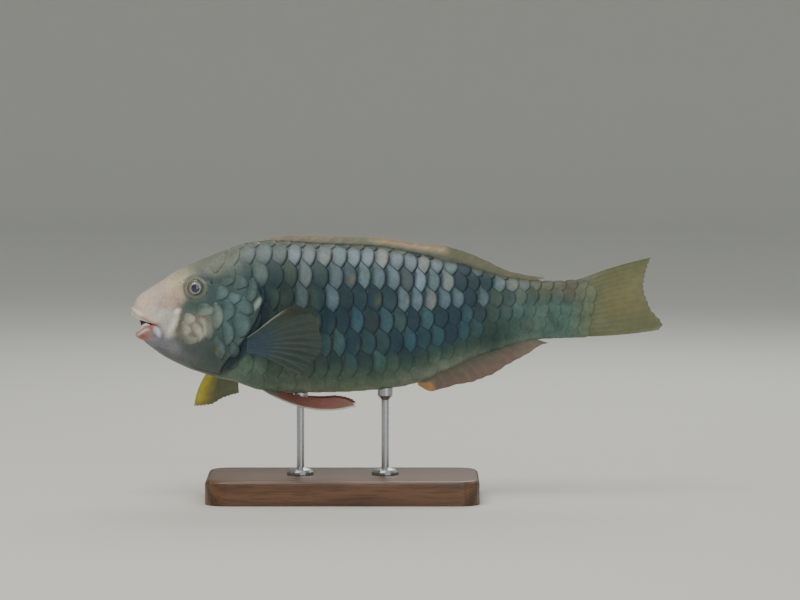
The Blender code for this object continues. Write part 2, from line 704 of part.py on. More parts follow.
def make_base(look):
    """The flat base, a board with rounded corners and a softened top edge."""
    length, width, height = (size * MM for size in STAND_SIZE)
    mesh = bmesh.new()
    bmesh.ops.create_cube(mesh, size=1.0)
    for vertex in mesh.verts:
        vertex.co.x *= length
        vertex.co.y *= width
        vertex.co.z = (vertex.co.z + 0.5) * height
    corners = [e for e in mesh.edges if abs(e.verts[0].co.z - e.verts[1].co.z) > height / 2]
    bmesh.ops.bevel(mesh, geom=corners, offset=STAND_CORNER * MM, segments=CORNER_SEGMENTS,
                    profile=0.5, affect="EDGES")
    top = [e for e in mesh.edges if all(v.co.z > height * 0.99 for v in e.verts)]
    bmesh.ops.bevel(mesh, geom=top, offset=STAND_EDGE * MM, segments=EDGE_SEGMENTS,
                    profile=0.5, affect="EDGES")
    finish(finish_mesh("stand_base", mesh), "stand_base", look)


def make_rod(which, look):
    """A turned rod: a round foot on the base, a slim shaft, and a small cup to the belly."""
    along = ROD_ALONG[which]
    floor = STAND_SIZE[2] + GAP - AXIS_HEIGHT
    cup = belly(along) - ROD_CUP_LIP
    foot = floor + ROD_FOOT_HEIGHT
    profile = [(0, floor), (ROD_FOOT_RADIUS, floor), (ROD_FOOT_RADIUS, foot - ROD_FOOT_EDGE),
               (ROD_FOOT_RADIUS - ROD_FOOT_EDGE, foot), (ROD_RADIUS, foot + ROD_FOOT_EDGE),
               (ROD_RADIUS, cup - ROD_CUP_FLARE), (ROD_CUP_RADIUS, cup),
               (ROD_CUP_RADIUS, cup + ROD_REACH), (0, cup + ROD_REACH)]
    mesh = bmesh.new()
    rings = []
    for radius, up in profile:
        if radius == 0:
            rings.append([mesh.verts.new(place(along, 0, up))])
            continue
        angles = [2 * math.pi * k / ROD_SEGMENTS for k in range(ROD_SEGMENTS)]
        rings.append([mesh.verts.new(place(along + radius * math.cos(a), radius * math.sin(a), up))
                      for a in angles])
    for low, high in zip(rings, rings[1:]):
        for k in range(ROD_SEGMENTS):
            n = (k + 1) % ROD_SEGMENTS
            if len(low) == 1:
                mesh.faces.new((low[0], high[k], high[n]))
            elif len(high) == 1:
                mesh.faces.new((low[k], low[n], high[0]))
            else:
                mesh.faces.new((low[k], low[n], high[n], high[k]))
    rod = finish_mesh("rod", mesh)
    finish(cut_to_body(rod), "stand_rod_" + which, look)


clear_scene()
parts = new_collection("parrotfish")
cutters = new_collection("cutters")
looks = {
    "head": material("head_skin", "8d8a80", 0.45),
    "cover": material("gill_cover_skin", "6f8580", 0.45),
    "flank": material("scaled_skin", "5b6f6c", 0.4),
    "eye": material("eye", "20304c", 0.1),
    "beak": material("beak", "d8d2c4", 0.35),
    "dorsal": material("dorsal_fin_skin", "8d8064", 0.5),
    "red": material("red_fin_skin", "8f4f3c", 0.5),
    "yellow": material("tail_fin_skin", "8d8745", 0.5),
    "pectoral": material("pectoral_fin_skin", "7d7a52", 0.5),
}
make_head(looks)
make_trunk(looks)
make_median_fins(looks)
make_caudal_fin(looks)
make_paired_fins(looks)
make_base(material("oiled_walnut", "5a3a22", 0.5))
for rod_name in ROD_ALONG:
    make_rod(rod_name, material("brushed_steel", "b9bcc0", 0.3, 1.0))
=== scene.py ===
# %% [markdown]
# # A parrotfish on a display stand
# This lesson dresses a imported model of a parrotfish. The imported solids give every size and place, and
# the script makes what the eye sees: one skin, big overlapping scales, ribbed fins, glass eyes and a
# walnut stand. The real thing would be a painted cast, made from a fish of about 35 cm. Sizes along the
# fish are in millimetres from the tip of the snout, because that is how a model maker measures it.

import math

import bmesh
import bpy
import numpy as np
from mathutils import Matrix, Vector


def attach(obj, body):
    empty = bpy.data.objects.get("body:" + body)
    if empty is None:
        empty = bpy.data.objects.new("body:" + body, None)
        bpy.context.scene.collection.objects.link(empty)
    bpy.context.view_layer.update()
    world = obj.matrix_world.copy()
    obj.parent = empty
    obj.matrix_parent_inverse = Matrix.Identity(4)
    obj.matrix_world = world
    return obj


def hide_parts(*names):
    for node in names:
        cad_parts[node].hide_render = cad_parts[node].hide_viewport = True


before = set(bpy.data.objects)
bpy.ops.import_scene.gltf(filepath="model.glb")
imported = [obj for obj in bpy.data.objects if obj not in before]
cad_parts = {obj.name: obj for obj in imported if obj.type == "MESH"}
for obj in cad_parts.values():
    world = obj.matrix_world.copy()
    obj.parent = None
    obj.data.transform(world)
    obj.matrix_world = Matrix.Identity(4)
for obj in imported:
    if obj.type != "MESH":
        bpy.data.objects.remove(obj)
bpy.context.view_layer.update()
print("nodes in the frame:", len(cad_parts))

# %% [markdown]
# ## From millimetres on the fish to metres in the model
# The body's axis is level, 125 mm over the table, and the stand's middle lies 140 mm behind the snout.
# "along" runs to the tail, "across" to the right flank, and "up" is measured from the axis.

# %% Places
MM = 0.001
STAND_ALONG = 140.0
AXIS_HEIGHT = 125.0


def place(along, across, up):
    """Points of the fish, in metres in the frame, as an array of rows."""
    rows = (np.asarray(along) - STAND_ALONG, np.asarray(across), np.asarray(up) + AXIS_HEIGHT)
    return np.stack(np.broadcast_arrays(*rows), axis=-1) * MM


def place_rows(rows):
    """The same for an array of (along, across, up) rows."""
    return place(*np.moveaxis(rows, -1, 0))


def smooth_step(x):
    x = np.clip(x, 0.0, 1.0)
    return x * x * (3 - 2 * x)


def rise(x, start, width):
    """0 up to start, and smoothly 1 from a width after it."""
    return smooth_step((x - start) / width)


def fall(x, end, width):
    """1 until a width before end, and smoothly 0 from end on."""
    return smooth_step((end - x) / width)


def bump(distance, width):
    """A smooth hill, 1 at no distance and nearly 0 past two widths."""
    return np.exp(-(distance / width) ** 2)


print("tip of the snout:", place(0.0, 0.0, 0.0).round(3), "m")

# %% [markdown]
# ## A smooth line through a few measured points
# A taxidermist draws the back and the belly through a dozen measured places. A cubic that never
# overshoots its points does the same, so that no false hump appears between two of them.

# %% Curves
def curve(points):
    """A smooth function of arrays through (x, value) points."""
    xs, ys = np.array(points, float).T
    steps = np.diff(ys) / np.diff(xs)
    before, after = steps[:-1], steps[1:]
    total = before + after
    safe = np.where(total == 0, 1.0, total)
    inner = np.where(before * after > 0, 2 * before * after / safe, 0.0)
    slopes = np.concatenate([steps[:1], inner, steps[-1:]])

    def value(x):
        x = np.clip(x, xs[0], xs[-1])
        k = np.clip(np.searchsorted(xs, x, side="right") - 1, 0, len(xs) - 2)
        width = xs[k + 1] - xs[k]
        t = (x - xs[k]) / width
        return (ys[k] * (1 + 2 * t) * (1 - t) ** 2 + ys[k + 1] * t * t * (3 - 2 * t)
                + slopes[k] * width * t * (1 - t) ** 2 - slopes[k + 1] * width * t * t * (1 - t))

    return value


BODY_LENGTH = 296.8
BODY_END = 308.0             # the last scales reach this far over the tail fin's root
back = curve([(0, -1.5), (0.7, 2.6), (5, 8.9), (14, 15.2), (34, 27.7), (56, 37.0), (80, 45.0),
              (95, 46.2), (126, 44.5), (160, 43.1), (192, 37.4), (219, 31.0), (250, 22.2),
              (280, 19.6), (300, 21.0)])
belly = curve([(0, -5.0), (1.4, -6.2), (2.6, -9.0), (3.4, -13.4), (4.8, -17.6), (10, -21.8),
               (24, -31.7), (50, -42.9), (68, -47.2), (84, -52.9), (100, -55.2), (135, -54.8),
               (172, -52.1), (187, -49.2), (204, -42.0), (236, -28.8), (270, -19.8),
               (300, -18.2)])
half_width = curve([(0, 1.6), (1, 4.2), (5, 7.4), (14, 10.6), (34, 15.8), (56, 20.0), (80, 23.0),
                    (110, 24.5), (144, 23.5), (180, 19.0), (219, 13.0), (250, 8.6), (280, 6.0),
                    (296.8, 4.4), (302, 3.2), (308, 1.9)])
gill_edge = curve([(-60, 58), (-40, 60), (-28, 68), (-12, 80), (0, 86), (7, 87.6), (17, 84.5),
                   (22, 79), (30, 77), (60, 76)])
print("deepest at 100 mm:", round(float(back(100.0) - belly(100.0)), 1), "mm")

# %% [markdown]
# ## The body's plain surface
# Each section is a superellipse, a little boxier than an ellipse. A point on it is named by "along" and
# by "share": 0 on the middle of the back, 1 on the middle of the belly, measured round the section. A
# table of sections is worked out once and then looked up.

# %% Body table
ROUNDNESS = 2.15
TABLE_STEP = 0.5
TABLE_SHARES = 160
table_along = np.arange(0.0, BODY_END + 1.0, TABLE_STEP)


def make_table():
    """Across and up for each (along, share) of the table, and half the girth at each along."""
    angle = np.linspace(0, math.pi, 721)
    power = 2 / ROUNDNESS
    across = np.sin(angle).clip(0) ** power
    up = np.sign(np.cos(angle)) * np.abs(np.cos(angle)) ** power
    rows_across, rows_up, girths = [], [], []
    shares = np.linspace(0, 1, TABLE_SHARES + 1)
    for a in table_along:
        top, bottom = back(a), belly(a)
        y = half_width(a) * across
        z = (top + bottom) / 2 + (top - bottom) / 2 * up
        length = np.concatenate([[0], np.cumsum(np.hypot(np.diff(y), np.diff(z)))])
        rows_across.append(np.interp(shares * length[-1], length, y))
        rows_up.append(np.interp(shares * length[-1], length, z))
        girths.append(length[-1])
    return np.array(rows_across), np.array(rows_up), np.array(girths)


table_across, table_up, table_girth = make_table()


def half_girth(along):
    """Millimetres from the middle of the back to the middle of the belly, round the flank."""
    return np.interp(along, table_along, table_girth)


def look_up(table, along, share):
    """Bilinear reading of the table."""
    i = np.clip(along / TABLE_STEP, 0, len(table_along) - 1.001)
    j = np.clip(share * TABLE_SHARES, 0, TABLE_SHARES - 0.001)
    i0, j0 = i.astype(int), j.astype(int)
    fi, fj = i - i0, j - j0
    upper = table[i0, j0] * (1 - fj) + table[i0, j0 + 1] * fj
    lower = table[i0 + 1, j0] * (1 - fj) + table[i0 + 1, j0 + 1] * fj
    return upper * (1 - fi) + lower * fi


def share_at(along, up):
    """The share of a place given by its height."""
    along, up = np.broadcast_arrays(np.asarray(along, float), np.asarray(up, float))
    low, high = np.zeros(along.shape), np.ones(along.shape)
    for _ in range(24):
        middle = (low + high) / 2
        above = look_up(table_up, along, middle) > up
        low, high = np.where(above, middle, low), np.where(above, high, middle)
    return (low + high) / 2


def base_surface(along, share):
    """Point and outward direction on the plain right flank, as (along, across, up) rows."""
    point = np.stack([along, look_up(table_across, along, share),
                      look_up(table_up, along, share)], -1)
    step_a, step_s = 0.6, 0.01
    low_a, high_a = np.clip(along - step_a, 0, None), along + step_a
    low_s, high_s = np.clip(share - step_s, 0, 1), np.clip(share + step_s, 0, 1)
    lengthwise = np.stack([high_a - low_a] + [look_up(t, high_a, share) - look_up(t, low_a, share)
                                              for t in (table_across, table_up)], -1)
    round_it = np.stack([np.zeros_like(along)] + [look_up(t, along, high_s) - look_up(t, along, low_s)
                                                  for t in (table_across, table_up)], -1)
    normal = np.cross(round_it, lengthwise)
    normal /= np.linalg.norm(normal, axis=-1, keepdims=True)
    flip = np.sign((normal * np.stack([0 * along, point[..., 1] + 1e-6,
                                       point[..., 2] - (back(along) + belly(along)) / 2], -1)).sum(-1))
    return point, normal * flip[..., None]


print("table of sections:", table_across.shape)

# %% [markdown]
# ## The head's relief
# On the real head the skin folds round the mouth, the eye and the gill cover. Each fold is a smooth hill
# or a groove that follows a line measured on the side of the head, and all are added to one height,
# which later pushes the skin out or in. Sculpting by hand would do it too, but hills can be retuned.

# %% Relief of the head
EYE = (43.5, 15.3)
ORBIT_RADIUS = 6.4
SCALE_COAT = 0.6
CHEEK_COAT = 0.3
GILL_STEP = 1.3
NOSTRILS = ((33.0, 18.2), (35.7, 20.0))
NOSTRIL_RIM = 1.25           # radius of the raised rim round each nostril

# Lines of the head as (along, up) places
UPPER_LIP = [(-1, 1.4), (2, 0.4), (4.5, -1.4), (9.5, -4.0), (14, -6.2), (19, -8.8)]
LOWER_LIP = [(2.5, -18.2), (4.5, -16.4), (7.5, -14.3), (10.5, -12.4), (14, -11.8), (18, -12.4)]
CHIN_FOLD = [(5, -22.0), (10, -19.5), (15, -17.0), (20, -16.0)]
SMILE_FOLD = [(32.5, 2.5), (31.6, -2.5), (29.6, -8.5), (26.5, -14.0), (23.0, -19.5)]
CHEEK_FOLD = [(46.0, -3.0), (49.5, -8.0), (49.5, -14.0), (45.5, -20.0)]
CHEEK_GROOVE = [(34.8, 3.0), (34.2, -4.0), (32.4, -10.5), (29.5, -16.5)]
JAW_LINE = [(38, -35.5), (48, -39.2), (58, -41.4), (68, -41.0)]


def line_distance(along, up, line):
    """Distance to a line of places, and how far along the line, from 0 to 1, its nearest place is."""
    nearest = np.full(np.shape(along), 1e9)
    part = np.zeros(np.shape(along))
    count = len(line) - 1
    for k in range(count):
        (a0, u0), (a1, u1) = line[k], line[k + 1]
        da, du = a1 - a0, u1 - u0
        t = np.clip(((along - a0) * da + (up - u0) * du) / (da * da + du * du), 0, 1)
        distance = np.hypot(along - a0 - t * da, up - u0 - t * du)
        closer = distance < nearest
        nearest = np.where(closer, distance, nearest)
        part = np.where(closer, (k + t) / count, part)
    return nearest, part


def fold(along, up, line, width, fade=4.0, open_start=False):
    """A ridge along a line, 1 at its crest, that fades out at both ends."""
    distance, part = line_distance(along, up, line)
    start = 1.0 if open_start else smooth_step(part * fade)
    return bump(distance, width) * start * smooth_step((1 - part) * fade)


# Heights of the mouth's edges along the head
upper_rim = curve([(0, -0.6), (4.2, -3.1), (9.5, -5.8), (14, -7.9), (19.5, -10.4)])
lower_rim = curve([(0, -17.2), (2.6, -15.8), (6, -13.2), (10.5, -10.0), (14, -9.5), (19.5, -10.9)])
upper_beak_edge = curve([(0, -4.2), (4.2, -5.5), (9.5, -6.9), (14, -8.4)])
lower_beak_edge = curve([(0, -14.9), (2.6, -13.4), (6, -10.9), (10.5, -8.1), (14, -8.9)])


def in_mouth(along, up, softness=0.9):
    """1 between the lips, and 0 outside."""
    inside = np.minimum(upper_rim(along) - up, up - lower_rim(along)) + 0.15
    return smooth_step(inside / softness) * fall(along, 21.0, 2)


def mouth_depth(along):
    """How far the mouth's bed lies under the plain surface."""
    return np.minimum(1.6 + 3.4 * fall(along, 12, 9), 0.6 * half_width(along))


def head_relief(along, up):
    """Height in millimetres of the head's folds over the plain surface."""
    from_eye = np.hypot(along - EYE[0], (up - EYE[1]) * 1.04)
    height = 0.5 * bump(from_eye - ORBIT_RADIUS, 0.9) + 0.1 * bump(from_eye - 9.2, 0.7)
    height -= 0.15 * bump(from_eye - 8.0, 0.6)
    height -= 1.2 * fall(from_eye, 4.9, 1.0)
    height -= 0.9 * fall(along, 5, 5)
    height += 0.9 * fold(along, up, UPPER_LIP, 1.6, 6.0, True)
    height += 1.0 * fold(along, up, LOWER_LIP, 2.2, 6.0, True)
    height -= 0.4 * fold(along, up, CHIN_FOLD, 1.4, 4.0, True)
    height -= mouth_depth(along) * in_mouth(along, up)
    height += 0.85 * fold(along, up, SMILE_FOLD, 2.2)
    height -= 0.7 * fold(along, up, CHEEK_GROOVE, 1.5)
    height += 0.35 * fold(along, up, CHEEK_FOLD, 1.4)
    height -= 0.5 * fold(along, up, JAW_LINE, 0.7)
    for nostril_along, nostril_up in NOSTRILS:
        away = np.hypot(along - nostril_along, up - nostril_up)
        height += 0.28 * bump(away - NOSTRIL_RIM, 0.45) - 1.0 * bump(away, 0.65)
    return height


def gill_slit(up):
    """1 where the gill cover's rear edge is free, and 0 above and below it."""
    return rise(up, -45, 6) * fall(up, 23, 5)


def coat_fade(along, up):
    """How full the coat of scales is: it starts on the nape and behind the jaw."""
    nape = rise(along, 44, 42)
    throat = rise(along, 60, 34)
    rear = 1 - 0.85 * rise(along, 262, 40)
    low = fall(up, -25, 15)
    return (nape + (throat - nape) * low) * rear


def trunk_level(along, up):
    """Height of the skin under the scales, which sinks under the gill cover's free edge."""
    behind = np.clip(along - gill_edge(up), 0, None)
    return -SCALE_COAT * coat_fade(along, up) - GILL_STEP * gill_slit(up) * np.exp(-behind / 9.0)


def cover_level(along, up):
    """Height of the head's skin, a little lower where the cheek has plates."""
    plates = rise(along, 40, 12) * rise(up, -38, 10)
    rim = 0.3 * bump(along - gill_edge(up) + 1.8, 1.6) * gill_slit(up)
    return head_relief(along, up) - CHEEK_COAT * plates + rim


def skin_height(along, up):
    """Height of the skin over the plain surface: head and gill cover in front, trunk behind."""
    past_edge = smooth_step((along - gill_edge(up)) / 0.5 + 0.5)
    in_slit = gill_slit(up)
    cover = cover_level(along, up)
    nape = head_relief(along, up) + trunk_level(along, up)
    front = cover * in_slit + nape * (1 - in_slit)
    return front * (1 - past_edge) + trunk_level(along, up) * past_edge


rim_height = head_relief(np.array(EYE[0] + ORBIT_RADIUS), np.array(EYE[1]))
print("height at the orbit's rim:", round(float(rim_height), 2), "mm")

# %% [markdown]
# ## Colours
# The fish is in its first colour phase: mottled grey and olive, with pale scales along the upper flank, a
# pinkish snout, a yellow tail and brick red belly fins. Painters give a colour as a hex value, and one
# function turns it into the linear light that Blender works in. Spots of paint with soft edges are laid
# over each other, on the skin and on the scales by the same function, so that both carry one pattern.

# %% Paint
def linear(colour):
    """An sRGB hex colour as linear red, green and blue."""
    parts = np.array([int(colour[k:k + 2], 16) / 255 for k in (0, 2, 4)])
    return np.where(parts <= 0.04045, parts / 12.92, ((parts + 0.055) / 1.055) ** 2.4)


def one_coat(places, colour):
    """Paint of one colour, for each of the places."""
    return np.ones(np.shape(places) + (3,)) * linear(colour)


def brush(paint, coats):
    """Lay coats over paint, an array of rows, each a colour and how thickly it is laid."""
    for colour, weight in coats:
        paint += (linear(colour) - paint) * np.clip(weight, 0, 1)[..., None]


def spot(along, up, centre, radii, soft=0.5, turn=0.0):
    """A soft-edged oval of paint: 1 inside, 0 outside."""
    c, s = math.cos(math.radians(turn)), math.sin(math.radians(turn))
    a, u = along - centre[0], up - centre[1]
    distance = np.hypot((a * c + u * s) / radii[0], (u * c - a * s) / radii[1])
    return smooth_step((1 + soft - distance) / (2 * soft))


def waves(along, up, size, seed):
    """Smooth blotches between -1 and 1, about size millimetres across."""
    random = np.random.default_rng(seed)
    total = np.zeros(np.shape(along))
    for _ in range(7):
        angle, phase = random.uniform(0, math.tau, 2)
        rate = math.tau / (size * random.uniform(0.8, 2.2))
        total += np.sin((along * math.cos(angle) + up * math.sin(angle)) * rate + phase)
    return np.clip(total / 3.2, -1, 1)


def gill_shadow(along, up):
    """Painted shadow behind the gill cover and the dark spot at the pectoral base, widest above the
    pectoral fin.
    """
    behind = along - gill_edge(up)
    width = np.interp(up, [-45, -30, -5, 10, 24], [4.0, 8.0, 7.0, 4.5, 2.0])
    return gill_slit(up) * fall(behind, width + 2.5, 5.0) * (behind > -0.8)


def ovals(along, up, rows):
    """Coats in soft-edged ovals, from rows of colour, centre, radii, softness, turn and weight."""
    return [(colour, spot(along, up, *shape) * weight) for colour, *shape, weight in rows]


def body_paint(along, up):
    """The fish's ground colour at each place of its side, and the painted shadow behind the gill cover.
    """
    height = np.clip((up - belly(along)) / (back(along) - belly(along)), 0, 1)
    blotch, broad = waves(along, up, 11, 3), waves(along, up, 34, 9)
    stalk = rise(along, 235, 20)
    rear_belly = fall(height, 0.16, 0.1) * rise(along, 165, 30)
    paint = one_coat(along, "183848")
    brush(paint, [
        ("203c44", rise(height, 0.50, 0.2)),
        ("384c51", rise(height, 0.72, 0.2)),
        ("636e6f", rise(height, 0.86, 0.1)),
        ("646856", rise(height, 0.95, 0.05)),
        ("34453f", fall(along, 142, 45) * fall(height, 0.85, 0.3) * 0.85),
        ("3a4f41", np.clip(blotch - 0.2, 0, 1) * 0.9 * rise(height, 0.1, 0.2)),
        ("152c35", np.clip(-blotch - 0.4, 0, 1) * 0.7),
        ("395349", fall(height, 0.33, 0.14)),
        ("56695a", fall(height, 0.22, 0.12)),
        ("7d8a77", fall(height, 0.11, 0.09)),
        ("5d7364", fall(along, 118, 30) * fall(height, 0.3, 0.15) * 0.7),
        ("24505c", spot(along, up, (184, -9), (38, 15), 0.6) * 0.45),
        ("26423c", rise(along, 205, 34) * (0.85 + 0.15 * blotch)),
        ("4d6a60", rise(along, 240, 24) * fall(height, 0.8, 0.3)),
        ("67786b", np.clip(broad, 0, 1) * stalk * 0.6),
        ("38493f", np.clip(-blotch - 0.2, 0, 1) * stalk * 0.6),
        ("575d4a", rise(along, 252, 22) * rise(height, 0.62, 0.2)),
        ("8c9488", rear_belly * (0.5 - 0.35 * rise(along, 195, 25))),
        ("5b5548", spot(along, up, (291, 13), (9, 7), 0.6) * 0.7),
        ("3c4a46", spot(along, up, (298, -2), (2.0, 7), 0.7) * 0.7),
        ("3c4a46", spot(along, up, (277, -3), (2.2, 6), 0.7, 20) * 0.6),
        ("6b7456", rise(along, 286, 18) * 0.8),
        ("4b5846", np.clip(broad, 0, 1) * 0.25 * (1 - stalk)),
        ("4a4f41", fall(back(along) - up, 4.5, 4) * rise(along, 80, 20)),
        # painted shadow behind the gill cover's edge
        ("182b39", gill_shadow(along, up) * 0.85)])
    return paint


def head_paint(along, up, paint):
    """The head's colours over the ground colour."""
    blotch = waves(along, up, 8, 5)
    brush(paint, [("52625e", fall(along, 86, 16))])
    brush(paint, ovals(along, up, [
        ("6b6f60", (48, 31), (32, 12), 0.6, 28, 0.9), ("84836d", (30, 25), (15, 9), 0.6, 36, 0.8),
        ("3f5b5a", (66, -2), (15, 20), 0.5, 0, 0.8 + 0.2 * blotch),
        ("42564f", (63, 18), (16, 6), 0.6, 14, 0.8), ("3d5252", (54, 6), (9, 7), 0.6, 0, 0.7)]))
    brush(paint, [("aba190", fall(along, 38, 14) * rise(up, -6, 8))])
    brush(paint, ovals(along, up, [
        ("b9ad92", (30, 17), (11, 8), 0.6, 36, 0.8), ("c8b2a3", (14, 6), (19, 10), 0.5, 32, 0.9),
        ("d6c2b4", (8, 4), (9, 6), 0.6, 40, 0.8), ("bfa793", (31, 9), (8, 5), 0.6, 35, 0.7),
        ("cbc4bb", (22, -3.5), (11, 5.6), 0.5, -14, 1), ("bfbab5", (25, -12), (5.5, 9), 0.6, -14, 1),
        ("63656a", (24, -25), (20, 9), 0.5, -33, 1), ("85858d", (25, -22), (9, 4.5), 0.6, -33, 0.8),
        ("8c8375", (41, -12), (8, 9), 0.6, -6, 1), ("857a72", (49, -8), (6, 7), 0.6, -10, 0.8),
        ("4f5553", (49, -25), (14, 7.5), 0.5, -28, 1), ("425350", (60, -27), (11, 13), 0.6, -24, 1),
        ("505b50", (62, -43), (26, 4.0), 0.6, -14, 0.8)]))
    return paint


def head_marks(along, up, paint):
    """Lips, mouth, eye rings, folds, painted highlights and painted shadows, laid after the broad
    colours.
    """
    from_eye = np.hypot(along - EYE[0], up - EYE[1])
    brush(paint, [
        ("3f5357", bump(from_eye - 10.5, 3.2) * rise(along, 41, 8) * 0.8),
        ("5e6659", bump(from_eye - 7.0, 1.7) * 0.85),
        ("4c5550", bump(from_eye - 8.0, 0.5) * 0.3),
        ("7f7f70", bump(from_eye - ORBIT_RADIUS, 0.5) * 0.4),
        ("5a6056", fall(from_eye, 5.9, 0.6)),
        ("dcd6ca", fold(along, up, SMILE_FOLD, 2.2) * 0.95),
        # painted highlight: a bright spot on the top of the smile fold
        ("f0ebe2", spot(along, up, (31.6, 0.2), (2.6, 1.7), 0.6, 30) * 0.8),
        # painted shadow in the cheek groove behind the smile fold
        ("6f6557", fold(along, up, CHEEK_GROOVE, 1.7) * 0.9),
        ("b4b09e", fold(along, up, CHEEK_FOLD, 1.3) * 0.8),
        ("d3b2a6", fold(along, up, UPPER_LIP, 2.0, 6.0, True) * 0.7),
        ("ece4dd", fold(along, up, UPPER_LIP[:4], 1.3, 6.0, True) * 0.75),
        ("8f8b99", spot(along, up, (14.5, -17.5), (4.5, 5.5), 0.6, 20) * 0.9),
        ("b28c86", spot(along, up, (9, -15.0), (7.0, 5.0), 0.5, 32)),
        ("ab6660", spot(along, up, (7, -18.6), (5.4, 2.6), 0.6, 30)),
        ("b4675f", spot(along, up, (14, -10.4), (4.6, 1.6), 0.6, 24) * 0.9),
        # painted highlight: a thin wet shine along the lower lip's crest
        ("f0dcd6", fold(along, up, LOWER_LIP[1:5], 0.8, 6.0) * 0.85),
        ("cfd6e8", spot(along, up, (18.2, -13.4), (1.9, 3.5), 0.5, 26)),
        ("353d3b", fold(along, up, JAW_LINE, 0.7) * 0.7),
        ("54292a", in_mouth(along, up, 1.2) * 0.95),
        # painted shadow under the gill cover's free edge
        ("1d2f36", bump(along - gill_edge(up), 0.7) * gill_slit(up) * 0.85),
        ("93a59d", spot(along, up, (84.4, 5.6), (1.7, 4.4), 0.5, -30) * 0.9)])
    return paint


def fish_paint(along, up):
    """The head's paint in front of the gill cover's edge, and the trunk's behind it."""
    trunk = body_paint(along, up)
    head = head_marks(along, up, head_paint(along, up, trunk.copy()))
    blend = 1 + 16 * (1 - gill_slit(up))
    behind = smooth_step((along - gill_edge(up) + blend / 2 - 0.5) / blend)
    return head + (trunk - head) * behind[..., None]


print("snout pink in linear light:", np.round(linear("c2a697"), 3))

# %% [markdown]
# ## One skin over head, trunk and tail stalk
# The solids part the body in lengths, but a cast has one skin, so a single mesh replaces them. A grid of
# rings is laid round the body, closer together on the head, where the folds are fine. Subdividing the
# solids would keep their facets, so the grid is worked out afresh from the same lines.

# %% Build the skin
SKIN_LINES = 106             # points from the middle of the back to the middle of the belly
END_BULGE = 0.0003           # metres that the middle of the skin's rear end stands out


def skin_stations():
    """Ring places: closest on the snout, 0.48 mm apart on the head and 1.15 mm behind it."""
    snout = 24.0 * np.linspace(0, 1, 75) ** 1.25
    head = np.arange(24.5, 92.0, 0.48)
    trunk = np.arange(92.5, BODY_LENGTH + 0.5, 1.15)
    return np.concatenate([snout, head, trunk])


def add_object(name, data):
    """Put an object with this data into the scene."""
    item = bpy.data.objects.new(name, data)
    bpy.context.scene.collection.objects.link(item)
    return item


def plain_mesh(name, points, faces=()):
    """An object whose mesh has these rows of points and these faces."""
    data = bpy.data.meshes.new(name)
    data.from_pydata(points.reshape(-1, 3).tolist(), [], faces)
    return add_object(name, data)


def mesh_object(name, points, faces):
    """A smooth mesh object, with its faces turned outwards."""
    item = plain_mesh(name, points, faces)
    item.data.validate()
    tidy = bmesh.new()
    tidy.from_mesh(item.data)
    bmesh.ops.recalc_face_normals(tidy, faces=tidy.faces)
    tidy.to_mesh(item.data)
    tidy.free()
    item.data.shade_smooth()
    return item


def ring_faces(rows, count):
    """Faces between closed rings of points, and fans to the two end points that follow them."""
    last = (rows - 1) * count
    turns = [(j, (j + 1) % count) for j in range(count)]
    faces = [(i + j, i + k, i + count + k, i + count + j)
             for i in range(0, last, count) for j, k in turns]
    for j, k in turns:
        faces += [(rows * count, k, j), (rows * count + 1, last + j, last + k)]
    return faces


def store(item, name, kind, values):
    """Keep values, one to a vertex, as a named attribute."""
    attribute = item.data.attributes.new(name, kind, "POINT")
    key = {"FLOAT": "value", "FLOAT_COLOR": "color"}.get(kind, "vector")
    attribute.data.foreach_set(key, np.asarray(values, np.float32).ravel())


def with_alpha(paint):
    """Rows of red, green, blue and a full alpha."""
    return np.concatenate([paint, np.ones(paint.shape[:-1] + (1,))], -1)


def corner_vertices(item):
    loops = np.empty(len(item.data.loops), np.int32)
    item.data.loops.foreach_get("vertex_index", loops)
    return loops


def store_map(item, name, flat):
    """Keep rows of (u, v), one to a vertex, as a UV map."""
    layer = item.data.uv_layers.new(name=name)
    layer.data.foreach_set("uv", flat[corner_vertices(item)].astype(np.float32).ravel())


def build_skin():
    stations = skin_stations()
    shares = np.linspace(0, 1, SKIN_LINES + 1)
    along, share = np.meshgrid(stations, shares, indexing="ij")
    point, normal = base_surface(along, share)
    height = skin_height(along, point[..., 2])
    paint = fish_paint(along, point[..., 2])
    point = point + normal * height[..., None]
    left = point[:, -2:0:-1] * np.array([1, -1, 1])
    rings = np.concatenate([point, left], 1)
    paints = np.concatenate([paint, paint[:, -2:0:-1]], 1)
    rows, count = rings.shape[:2]
    places = place_rows(rings).reshape(-1, 3)
    ends = np.stack([places[:count].mean(0), places[-count:].mean(0) + (END_BULGE, 0, 0)])
    item = mesh_object("fish_skin", np.concatenate([places, ends]), ring_faces(rows, count))
    caps = np.array([paints[0, 0], paints[-1, 0]])
    store(item, "paint", "FLOAT_COLOR", with_alpha(np.concatenate([paints.reshape(-1, 3), caps])))
    return item, rows, count


